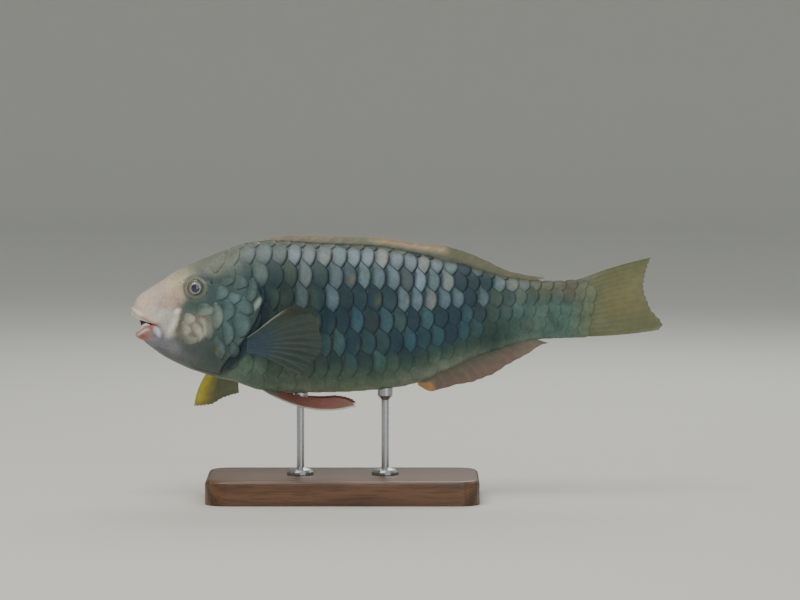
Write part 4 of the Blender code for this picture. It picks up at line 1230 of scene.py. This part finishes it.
def finish_fin(item, paint, ray, cover, look, nodes):
    """Store a fin's paint, rays and cover, and give it to the frame."""
    store(item, "paint", "FLOAT_COLOR", with_alpha(paint))
    store(item, "ray", "FLOAT", ray)
    store(item, "cover", "FLOAT", np.clip(cover, 0, 1) * np.ones(len(ray)))
    item.data.materials.append(look)
    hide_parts(*nodes)
    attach(item, "root")
    return item


print("samples between two rays:", RAY_SAMPLES)

# %% [markdown]
# ## Fin finish: stained resin membrane
# On a cast, fins are poured in clear resin and stained, so a little light shines through between the
# rays. The ray attribute makes the rays lighter than the membrane, and the cover attribute says how much
# the stain hides what lies behind. It stays nearly full, because a clearer sheet looks grainy when it is
# drawn with few samples. A small subsurface weight gives the glow of thin resin.

# %% Fin material
def fin_finish():
    look, tree, shader = new_material("stained_resin_fin")
    ray = add_node(tree, "ShaderNodeAttribute", attribute_name="ray")
    cover = add_node(tree, "ShaderNodeAttribute", attribute_name="cover")
    mottle = object_pattern(tree, "ShaderNodeTexNoise", 0.004)
    shade_colour(tree, shader, [(ray.outputs["Fac"], 0.0, 1.0, 0.95, 1.1),
                                (mottle.outputs["Fac"], 0.3, 0.7, 0.88, 1.1)])
    tree.links.new(cover.outputs["Fac"], shader.inputs["Alpha"])
    set_surface(tree, shader, Roughness=0.5, Subsurface_Weight=0.15, Subsurface_Scale=0.002,
                Coat_Weight=0.12, Coat_Roughness=0.3)
    return look


fin_look = fin_finish()
print("fin finish:", fin_look.name)

# %% [markdown]
# ## Tail fin
# The tail fin grows from the whole end of the tail stalk: its root is as thick as the stalk, and within a
# centimetre it thins to a fan of rays. The rim is slightly forked, the lower lobe a little longer, and
# the two lobes curl to different sides, as in the last beat of a slow stroke.

# %% Tail fin
rim_along = curve([(0, 344.0), (0.12, 341.5), (0.42, 338.7), (0.7, 342.5), (0.94, 351.0), (1, 348.2)])
rim_up = curve([(0, 34.3), (0.5, 12.2), (0.94, -9.9), (1, -12.8)])
TAIL_ROOT = BODY_LENGTH - 3.0


def tail_point(u, v):
    top, bottom = back(TAIL_ROOT) - 1.0, belly(TAIL_ROOT) + 1.0
    root_up = top + (bottom - top) * u
    curl = 8.0 * (1 - u) ** 2 - 4.0 * u ** 2
    bow = 1.4 * (1 - 2 * u) * 4 * v * (1 - v)
    return np.stack([TAIL_ROOT + (rim_along(u) - TAIL_ROOT) * v, curl * v * v,
                     root_up + (rim_up(u) - root_up) * v + bow], -1)


def tail_thickness(u, v):
    root = 2 * half_width(TAIL_ROOT) * np.sqrt(np.clip(1 - (2 * u - 1) ** 2, 0.03, 1)) * 0.86
    thin = 1.3 - 0.85 * v
    return thin + np.clip(root - thin, 0, None) * bump(v, 0.26)


def make_tail_fin():
    item, spots, (u, v, ray) = fin_sheet("tail_fin", 15, 60, tail_point, tail_thickness, 0.14,
                                         seed=2)
    along, up = spots[:, 0], spots[:, 2]
    blotch = waves(along, up, 18, 8)
    paint = one_coat(u, "666a3e")
    brush(paint, [
        ("736f42", spot(along, up, (330, 8), (16, 16), 0.6)),
        ("666a4a", rise(u, 0.6, 0.3) * 0.8),
        ("6b6c4c", fall(v, 0.5, 0.25)),
        ("5b6552", fall(v, 0.26, 0.2)),
        ("6d6c58", rise(v, 0.93, 0.07) * 0.8),
        ("626646", np.clip(blotch, 0, 1) * 0.3)])
    return finish_fin(item, paint, ray * 0.2, 0.97 - 0.1 * v, fin_look, ["caudal_fin"])


tail_fin = make_tail_fin()
print("tail fin faces:", len(tail_fin.data.polygons))

# %% [markdown]
# ## Fins of the back and the belly
# The back fin is folded low, with nine spines and then soft rays, all leaning back. The fin behind the
# vent is deeper. Both are sheets that stand on the body's middle line and start a little inside it.

# %% Dorsal and anal fins
FIN_LEAN = 12.0              # mm that a fin's tips lie behind its roots
FIN_SUNK = 2.5               # mm that its roots lie inside the body


def median_point(line, side, span, height):
    """Places of a sheet on the middle line, over a span of a back or belly line."""
    tall = curve(height)

    def point(u, v):
        root = span[0] + (span[1] - span[0]) * u
        tip = root + FIN_LEAN * smooth_step((root - span[0]) / 25 + 0.15)
        base_up = line(root) - side * FIN_SUNK
        rim = line(tip) + side * tall(tip)
        return np.stack([root + (tip - root) * v, 0 * u, base_up + (rim - base_up) * v], -1)

    return point


DORSAL_HEIGHT = [(85, 0.4), (97, 2.4), (115, 4.1), (156, 4.8), (192, 6.4), (209, 8.6), (233, 7.0),
                 (252, 3.2), (274, 1.6)]
ANAL_HEIGHT = [(189, 0.8), (199, 9.6), (215, 12.4), (228, 15.2), (238, 15.0), (248, 12.0),
               (262, 8.2), (272, 3.2), (276, 2.6)]


def make_dorsal_fin():
    point = median_point(back, 1, (85.0, 262.0), DORSAL_HEIGHT)
    item, spots, (u, v, ray) = fin_sheet("dorsal_fin", 20, 16, point, lambda u, v: 2.4 - 1.7 * v,
                                         0.2, forks=1.1, scallop=0.012, seed=4)
    along = spots[:, 0]
    rust = rise(along, 152, 14) * fall(along, 212, 8)
    paint = one_coat(u, "80806b")
    brush(paint, [
        ("696b52", rise(along, 200, 14)),
        ("6a664a", rise(along, 228, 20) * 0.7),
        ("a2886a", rust * rise(v, 0.4, 0.3) * 0.85),
        ("bdab8e", rust * bump(v - 0.72, 0.14) * 0.6),
        ("9a8b78", fall(along, 150, 20) * bump(v - 0.85, 0.3) * 0.7),
        ("4f574e", fall(v, 0.5, 0.2) * 0.6)])
    return finish_fin(item, paint, ray, 0.95, fin_look, ["dorsal_fin_spiny", "dorsal_fin_soft"])


def make_anal_fin():
    point = median_point(belly, -1, (189.0, 264.0), ANAL_HEIGHT)
    item, spots, (u, v, ray) = fin_sheet("anal_fin_ribs", 13, 24, point, lambda u, v: 2.2 - 1.6 * v,
                                         0.22, forks=0.6, scallop=0.012, seed=6)
    along = spots[:, 0]
    paint = one_coat(u, "6c6253")
    brush(paint, [
        ("7d6153", bump(v - 0.75, 0.3) * 0.6),
        ("5f5c4c", fall(v, 0.42, 0.25) * 0.9),
        # painted light: the fin's front lighter and more orange than its reddish brown, as if sunlit
        ("b58d5e", fall(along, 203, 6) * rise(v, 0.3, 0.2) * 0.9),
        ("d08b3c", fall(along, 203, 6) * ray * rise(v, 0.4, 0.2) * 0.8),
        ("7a7060", rise(along, 250, 12) * 0.8)])
    return finish_fin(item, paint, ray, 0.95, fin_look, ["anal_fin"])


dorsal_fin = make_dorsal_fin()
anal_fin = make_anal_fin()
print("dorsal and anal fin faces:", len(dorsal_fin.data.polygons), len(anal_fin.data.polygons))

# %% [markdown]
# ## Paired fins
# The left pectoral is spread back and out from the flank, the right one is swung down and forwards, and
# the pelvic fins are folded along the belly. Each is a fan between a first and a last ray, with its rim
# through four measured tips. The rays bow a little, most at the leading edge.

# %% Pectoral and pelvic fins
def fan_point(roots, tips, bend):
    root_lines = [curve([(0, roots[0][k]), (1, roots[1][k])]) for k in range(3)]
    tip_lines = [curve([(n / 3, tip[k]) for n, tip in enumerate(tips)]) for k in range(3)]

    def point(u, v):
        bow = 4 * v * (1 - v) * (1 - 0.6 * u)
        return np.stack([root_lines[k](u) + (tip_lines[k](u) - root_lines[k](u)) * v + bend[k] * bow
                         for k in range(3)], -1)

    return point


def fan_thickness(root, rim):
    return lambda u, v: rim + (root - rim) * bump(v, 0.22) + 0.35 * (1 - v)


def make_left_pectoral():
    point = fan_point([(79, -20, -16.5), (78, -19, -26)],
                      [(110.9, -78, 9.3), (121.1, -71, 3.7), (127.3, -59, -18.5),
                       (112.7, -42, -40.1)], (2, 3, 3))
    item, _, (u, v, ray) = fin_sheet("pectoral_left", 13, 44, point, fan_thickness(3.6, 0.35), 0.16,
                                     seed=12)
    paint = one_coat(u, "344944")
    brush(paint, [
        ("454a3f", fall(u, 0.4, 0.3) * rise(v, 0.4, 0.3) * 0.6),
        # painted shade: dark streaks between the rays of the fan's rear part
        ("25363a", (1 - ray) * rise(u, 0.45, 0.2) * bump(v - 0.68, 0.25) * 0.5),
        ("587069", ray * (0.15 + 0.25 * rise(u, 0.45, 0.25))),
        # painted shade: the fan's root dark navy, where the shadow behind the gill cover reaches it
        ("2b4558", fall(v, 0.5, 0.3) * rise(u, 0.08, 0.25) * 0.9),
        ("8d9c92", fall(u, 0.06, 0.04) * fall(v, 0.8, 0.3))])
    cover = 0.98 - 0.12 * rise(v, 0.5, 0.4)
    return finish_fin(item, paint, ray, cover, fin_look, ["pectoral_fin_left"])


def make_right_pectoral():
    point = fan_point([(82, 19, -17), (80, 19, -27)],
                      [(39.6, 48, -68.2), (49.1, 46, -67.4), (60.7, 43, -61.5), (70.0, 38, -58.5)],
                      (-9, 5, 2))
    item, _, (u, v, ray) = fin_sheet("pectoral_right", 13, 44, point, fan_thickness(3.6, 0.35), 0.16,
                                     seed=13)
    paint = one_coat(u, "637251")
    brush(paint, [
        ("a79f2a", fall(u, 0.5, 0.35)),
        ("c9c136", fall(u, 0.3, 0.24) * 0.85),
        ("666a3e", rise(v, 0.9, 0.1) * 0.5),
        ("586854", fall(v, 0.35, 0.25) * 0.8)])
    return finish_fin(item, paint, ray * 0.6, 0.92, fin_look, ["pectoral_fin_right"])


def make_pelvic(side, name, node, seed):
    point = fan_point([(84, side * 5.5, -50), (91, side * 4.5, -50)],
                      [(149, side * 13, -62.5), (146.5, side * 11.5, -60.2),
                       (142, side * 10, -58.4), (135, side * 8.5, -57.2)], (0, side * 1.0, -8.0))
    item, _, (u, v, ray) = fin_sheet(name, 7, 40, point, fan_thickness(2.4, 0.45), 0.2, seed=seed)
    paint = one_coat(u, "74423a")
    brush(paint, [
        ("86493b", bump(v - 0.6, 0.25) * 0.6),
        ("7a5a4c", rise(v, 0.88, 0.12) * 0.7),
        ("b9baaa", fall(u, 0.13, 0.08)),
        ("5f6557", fall(v, 0.25, 0.15))])
    return finish_fin(item, paint, ray, 0.96, fin_look, [node])


paired = [make_left_pectoral(), make_right_pectoral(),
          make_pelvic(-1, "pelvic_left", "pelvic_fin_left", 14),
          make_pelvic(1, "pelvic_right", "pelvic_fin_right", 15)]
print("paired fins:", len(paired))

# %% [markdown]
# ## Glass eyes
# A fish has no lids: the eye is a shallow dome in a ring of skin. A glass eye is made the same way, with
# a painted disc behind a clear cornea. The disc is bent like a saucer, with a dark pupil, a thin pale
# ring round it and a grey iris, and the cornea is a closed lens in front of it.

# %% Eyes
EYE_RADIUS = 5.6
EYE_BULGE = 4.0
EYE_DEPTH = 1.5
PUPIL_RADIUS = 2.8
EYE_SEGMENTS = 64


def skin_across(along, up):
    """Half width of the plain body at a place of its side."""
    top, bottom = back(along), belly(along)
    level = np.abs((up - (top + bottom) / 2) / ((top - bottom) / 2))
    return half_width(along) * (1 - np.minimum(level, 1) ** ROUNDNESS) ** (1 / ROUNDNESS)


def dome(name, side, profile):
    """A closed turned solid on the eye's axis, from (radius, outward) places, rear to front."""
    centre = float(skin_across(EYE[0], EYE[1])) - EYE_DEPTH
    radius, out = np.array(profile).T
    angle = np.linspace(0, math.tau, EYE_SEGMENTS, endpoint=False)
    along = EYE[0] + radius[1:-1, None] * np.cos(angle)
    up = EYE[1] + radius[1:-1, None] * np.sin(angle)
    across = np.repeat(out[1:-1, None], EYE_SEGMENTS, 1) * side + side * centre
    rings = place(along, across, up).reshape(-1, 3)
    ends = place([EYE[0]] * 2, [side * (centre + out[0]), side * (centre + out[-1])], [EYE[1]] * 2)
    item = mesh_object(name, np.concatenate([rings, ends]), ring_faces(len(profile) - 2, EYE_SEGMENTS))
    radii = np.concatenate([np.repeat(radius[1:-1], EYE_SEGMENTS), [0, 0]])
    fronts = np.concatenate([np.repeat(out[1:-1], EYE_SEGMENTS), [out[0], out[-1]]])
    return item, radii, fronts


def ellipse_profile(grow, start, stop, steps):
    """(radius, outward) places of the eye's outer shape, from angle start to stop."""
    angles = np.linspace(math.radians(start), math.radians(stop), steps)
    return [((EYE_RADIUS + grow) * math.cos(a), (EYE_BULGE + grow) * math.sin(a)) for a in angles]


def make_eye(side, where):
    """The painted eyeball and its clear cornea."""
    saucer = ellipse_profile(-0.12, -90, 2, 14)
    saucer += [(EYE_RADIUS - 0.5 - 0.2 * k, 0.9 + 0.95 * smooth_step(k / 22)) for k in range(25)]
    saucer += [(0, 1.85)]
    ball, radius, out = dome("eyeball_" + where, side, saucer)
    paint = one_coat(radius, "747868")
    brush(paint, [
        ("5a6055", rise(radius, 4.3, 0.5)),
        ("d8cfc0", bump(radius - PUPIL_RADIUS - 0.3, 0.3) * 0.8),
        ("8e8466", bump(radius - PUPIL_RADIUS - 0.95, 0.35) * 0.5),
        ("14264f", smooth_step((PUPIL_RADIUS + 0.1 - radius) / 0.2) * (out > 0.5))])
    store(ball, "paint", "FLOAT_COLOR", with_alpha(paint))
    outer = ellipse_profile(0, 8, 90, 18)
    inner = ellipse_profile(-0.3, 10, 90, 18)[::-1]
    return ball, dome("cornea_" + where, side, inner + outer)[0]


def eye_finishes():
    """Fired enamel on the disc, and clear glass for the cornea."""
    enamel, tree, shader = new_material("fired_enamel_iris")
    fibres = object_pattern(tree, "ShaderNodeTexNoise", 0.0008)
    shade_colour(tree, shader, [(fibres.outputs["Fac"], 0.0, 1.0, 0.85, 1.15)])
    set_surface(tree, shader, Roughness=0.3, Coat_Weight=0.3, Coat_Roughness=0.12)
    glass, tree, clear = new_material("clear_lens_glass")
    set_surface(tree, clear, colour="ffffff", Roughness=0.02, IOR=1.36, Transmission_Weight=1.0)
    return enamel, glass


enamel, lens_glass = eye_finishes()
for side, where in ((-1, "left"), (1, "right")):
    ball, lens = make_eye(side, where)
    ball.data.materials.append(enamel)
    lens.data.materials.append(lens_glass)
    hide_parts("eye_" + where)
    for piece in (ball, lens):
        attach(piece, "root")
print("pupil across:", 2 * PUPIL_RADIUS, "mm")

# %% [markdown]
# ## Beak
# A parrotfish's teeth are fused into a beak. Only a strip of it shows between the lips. It is a curved
# band that wraps round the jaw's front, scalloped where tooth tips meet at its cutting edge.

# %% Beak
BEAK_LENGTH = 13.0
BEAK_SINK = 0.9              # how far a band's root runs on under its lip
JAWS = ("upper", "lower")
TEETH = 14                   # from one corner of the mouth to the other, in each jaw
TOOTH_DEPTH = 0.14


def make_beak(jaw):
    """A closed band round the front of one jaw, from the left corner to the right."""
    side = 1 if jaw == "upper" else -1
    cutting, rim = (upper_beak_edge, upper_rim) if jaw == "upper" else (lower_beak_edge, lower_rim)
    steps, lines = 120, 8
    turn = np.linspace(-1, 1, steps + 1)
    samples = np.linspace(0, 6, 121)
    level = float(cutting(3.0) + rim(3.0)) / 2
    front = 0.5 if jaw == "upper" else float(np.interp(-level, -belly(samples), samples)) + 0.5
    along = front + (BEAK_LENGTH - front) * np.abs(turn) ** 1.6
    edge = cutting(along)
    root = rim(along) + side * BEAK_SINK
    teeth = TOOTH_DEPTH * np.abs(np.sin(turn * TEETH * math.pi / 2))
    layers = []
    for inset in (0.15 if jaw == "upper" else 0.35, 1.8):
        rows = []
        for k in range(lines + 1):
            share = k / lines
            up = edge + (root - edge) * share + side * teeth * (1 - share)
            bulge = 0.3 * math.sin(math.pi * share) - inset - 0.4 * (1 - share) ** 2 * (inset < 1)
            width = np.maximum(skin_across(np.maximum(along, 0.1), up) + bulge, 0.05)
            width = np.where(np.abs(turn) < 1e-9, 0.0, width)
            rows.append(np.stack([along - np.minimum(bulge, 0) * bump(along - front, 2.5),
                                  width * np.sign(turn), up], -1))
        layers.append(np.stack(rows, 1))
    item = closed_sheet(jaw + "_beak", *[place_rows(layer) for layer in layers])
    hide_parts("beak_" + jaw)
    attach(item, "root")
    return item


def beak_finish():
    """Tooth enamel: creamy and smooth, with faint lines between the fused teeth 1.4 mm apart."""
    look, tree, shader = new_material("tooth_enamel")
    lines = object_pattern(tree, "ShaderNodeTexVoronoi", 0.0014, feature="DISTANCE_TO_EDGE")
    tint = add_node(tree, "ShaderNodeValToRGB", [("Fac", lines.outputs["Distance"])])
    tint.color_ramp.elements[0].position = 0.0
    tint.color_ramp.elements[0].color = (*linear("b3aa9b"), 1)
    tint.color_ramp.elements[1].position = 0.12
    tint.color_ramp.elements[1].color = (*linear("e3ddd1"), 1)
    tree.links.new(tint.outputs["Color"], shader.inputs["Base Color"])
    set_surface(tree, shader, (lines.outputs["Distance"], 0.2, 0.0003), Roughness=0.22,
                Subsurface_Weight=0.1, Subsurface_Scale=0.001)
    return look


tooth_enamel = beak_finish()
for jaw in JAWS:
    make_beak(jaw).data.materials.append(tooth_enamel)
print("beak bands:", len(JAWS))

# %% [markdown]
# ## Walnut base and steel rods
# The stand's solids already have the right shape, so they stay and only get a finish. Oiled walnut shows
# long brown grain. Its rings are a wave stretched along the board, with pores as short dark streaks
# 0.8 mm wide. The rods are turned and brushed, so fine rings run round them.

# %% Stand finishes
def oiled_walnut():
    look, tree, shader = new_material("oiled_walnut")
    bend = object_pattern(tree, "ShaderNodeTexNoise", 1 / 9.0, (0.6, 3.0, 3.0))
    where = add_node(tree, "ShaderNodeTexCoord")
    push = add_node(tree, "ShaderNodeVectorMath", [(0, bend.outputs["Color"])], [("Scale", 0.02)],
                    operation="SCALE")
    moved = add_node(tree, "ShaderNodeVectorMath",
                     [(0, where.outputs["Object"]), (1, push.outputs[0])], operation="ADD")
    squeezed = add_node(tree, "ShaderNodeMapping", [("Vector", moved.outputs[0])],
                        [("Scale", (0.12, 1.0, 1.6)), ("Rotation", (0.35, 0.0, 0.05))])
    rings = add_node(tree, "ShaderNodeTexWave", [("Vector", squeezed.outputs[0])],
                     [("Scale", 34.0), ("Distortion", 4.5), ("Detail", 3.0)], bands_direction="Y")
    tint = add_node(tree, "ShaderNodeValToRGB", [("Fac", rings.outputs["Fac"])])
    tint.color_ramp.elements[0].color = (*linear("4b301e"), 1)
    tint.color_ramp.elements[1].color = (*linear("6d4a31"), 1)
    pores = object_pattern(tree, "ShaderNodeTexNoise", 0.0008, (0.06, 1.0, 1.0))
    shade_colour(tree, shader, [(pores.outputs["Fac"], 0.36, 0.5, 0.62, 1.0)],
                 tint.outputs["Color"])
    set_surface(tree, shader, (pores.outputs["Fac"], 0.15, 0.0002), Roughness=0.42,
                Coat_Weight=0.15, Coat_Roughness=0.35)
    return look


def brushed_steel():
    """Brushed round its axis, so fine rings 0.6 mm apart run round the rod."""
    look, tree, shader = new_material("brushed_stainless_steel")
    rings = object_pattern(tree, "ShaderNodeTexNoise", 0.0006, (0.05, 0.05, 1.0))
    roughness = add_node(tree, "ShaderNodeMapRange", [("Value", rings.outputs["Fac"])],
                         [("To Min", 0.2), ("To Max", 0.42)])
    tree.links.new(roughness.outputs[0], shader.inputs["Roughness"])
    set_surface(tree, shader, (rings.outputs["Fac"], 0.1, 0.0001), "b4b6b8", Metallic=1.0)
    return look


finishes = {"stand_base": oiled_walnut(), "stand_rod_front": brushed_steel()}
finishes["stand_rod_rear"] = finishes["stand_rod_front"]
for node, look in finishes.items():
    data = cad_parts[node].data
    data.materials.clear()
    data.materials.append(look)
print("stand finishes:", sorted({look.name for look in finishes.values()}))

# %% [markdown]
# ## Floor, light and camera
# A pale round sweep of floor and wall keeps the eye on the fish. Three big soft lights stand in for a
# studio: one above, one from the camera's side, and a weak one from behind that lights the fins' rims.
# The camera looks at the left flank from a little above, from far enough to keep the fish undistorted.

# %% Stage
FLOOR_RADIUS = 3.4
CURVE_RADIUS = 0.8
WALL_TOP = 3.8
STAGE_DROP = 0.0002          # the floor lies a little under the base, so that the two don't flicker
LAMP_TARGET = Vector((0.03, 0, 0.12))


def sweep():
    """A round floor that curves up into a wall all round, so that no view meets an edge."""
    profile = [(radius, 0.0) for radius in (0.5, 1.2, 2.4, FLOOR_RADIUS)]
    profile += [(FLOOR_RADIUS + CURVE_RADIUS * math.sin(a), CURVE_RADIUS - CURVE_RADIUS * math.cos(a))
                for a in np.linspace(0.15, math.pi / 2, 10)]
    profile += [(FLOOR_RADIUS + CURVE_RADIUS, WALL_TOP)]
    segments = 72
    mesh = bmesh.new()
    rings = [[mesh.verts.new((r * math.cos(t), r * math.sin(t), z - STAGE_DROP))
              for t in np.linspace(0, math.tau, segments, endpoint=False)] for r, z in profile]
    for inner, outer in zip(rings, rings[1:]):
        for j in range(segments):
            k = (j + 1) % segments
            mesh.faces.new((inner[j], outer[j], outer[k], inner[k]))
    mesh.faces.new(rings[0])
    data = bpy.data.meshes.new("sweep")
    mesh.to_mesh(data)
    mesh.free()
    data.shade_smooth()
    look, tree, shader = new_material("pale_backdrop_paper")
    set_surface(tree, shader, colour="cfcec6", Roughness=0.9)
    data.materials.append(look)
    add_object("sweep", data)


def soft_light(name, where, size, power, colour="ffffff"):
    """A square area light that points at the fish."""
    lamp = bpy.data.lights.new(name, "AREA")
    lamp.size = size
    lamp.energy = power
    lamp.color = linear(colour)
    item = add_object(name, lamp)
    item.location = where
    item.rotation_euler = (LAMP_TARGET - item.location).to_track_quat("-Z", "Y").to_euler()


sweep()
soft_light("key_light", (-0.35, -0.6, 1.5), 1.0, 18, "fff8ee")
soft_light("fill_light", (0.6, -1.6, 0.6), 1.2, 8, "eef6ff")
soft_light("rim_light", (0.3, 1.0, 1.0), 0.8, 7)
world = bpy.data.worlds.new("studio")
world.use_nodes = True
sky = world.node_tree.nodes["Background"]
sky.inputs["Color"].default_value = (*linear("dfe6ea"), 1)
sky.inputs["Strength"].default_value = 0.7
bpy.context.scene.world = world

# %% Camera
PICTURE = (800, 600)
MM_PER_PIXEL = 0.66
SNOUT_PIXEL = 130.6
AXIS_PIXEL = 310.0
DISTANCE = 3.0
ELEVATION = math.radians(4.0)


def photo_camera():
    """A camera whose picture shows the fish where the photograph does."""
    view = bpy.data.cameras.new("photo_camera")
    view.sensor_width = 36.0
    view.lens = view.sensor_width * DISTANCE / (PICTURE[0] * MM_PER_PIXEL * MM)
    item = add_object("photo_camera", view)
    middle = Vector(place((PICTURE[0] / 2 - SNOUT_PIXEL) * MM_PER_PIXEL, 0.0,
                          (AXIS_PIXEL - PICTURE[1] / 2) * MM_PER_PIXEL / math.cos(ELEVATION)))
    away = Vector((0, -math.cos(ELEVATION), math.sin(ELEVATION))) * DISTANCE
    item.location = middle + away
    item.rotation_euler = (-away).to_track_quat("-Z", "Y").to_euler()
    bpy.context.scene.camera = item
    return item


camera = photo_camera()
print("lens:", round(camera.data.lens, 1), "mm, height:", round(camera.location.z, 3), "m")
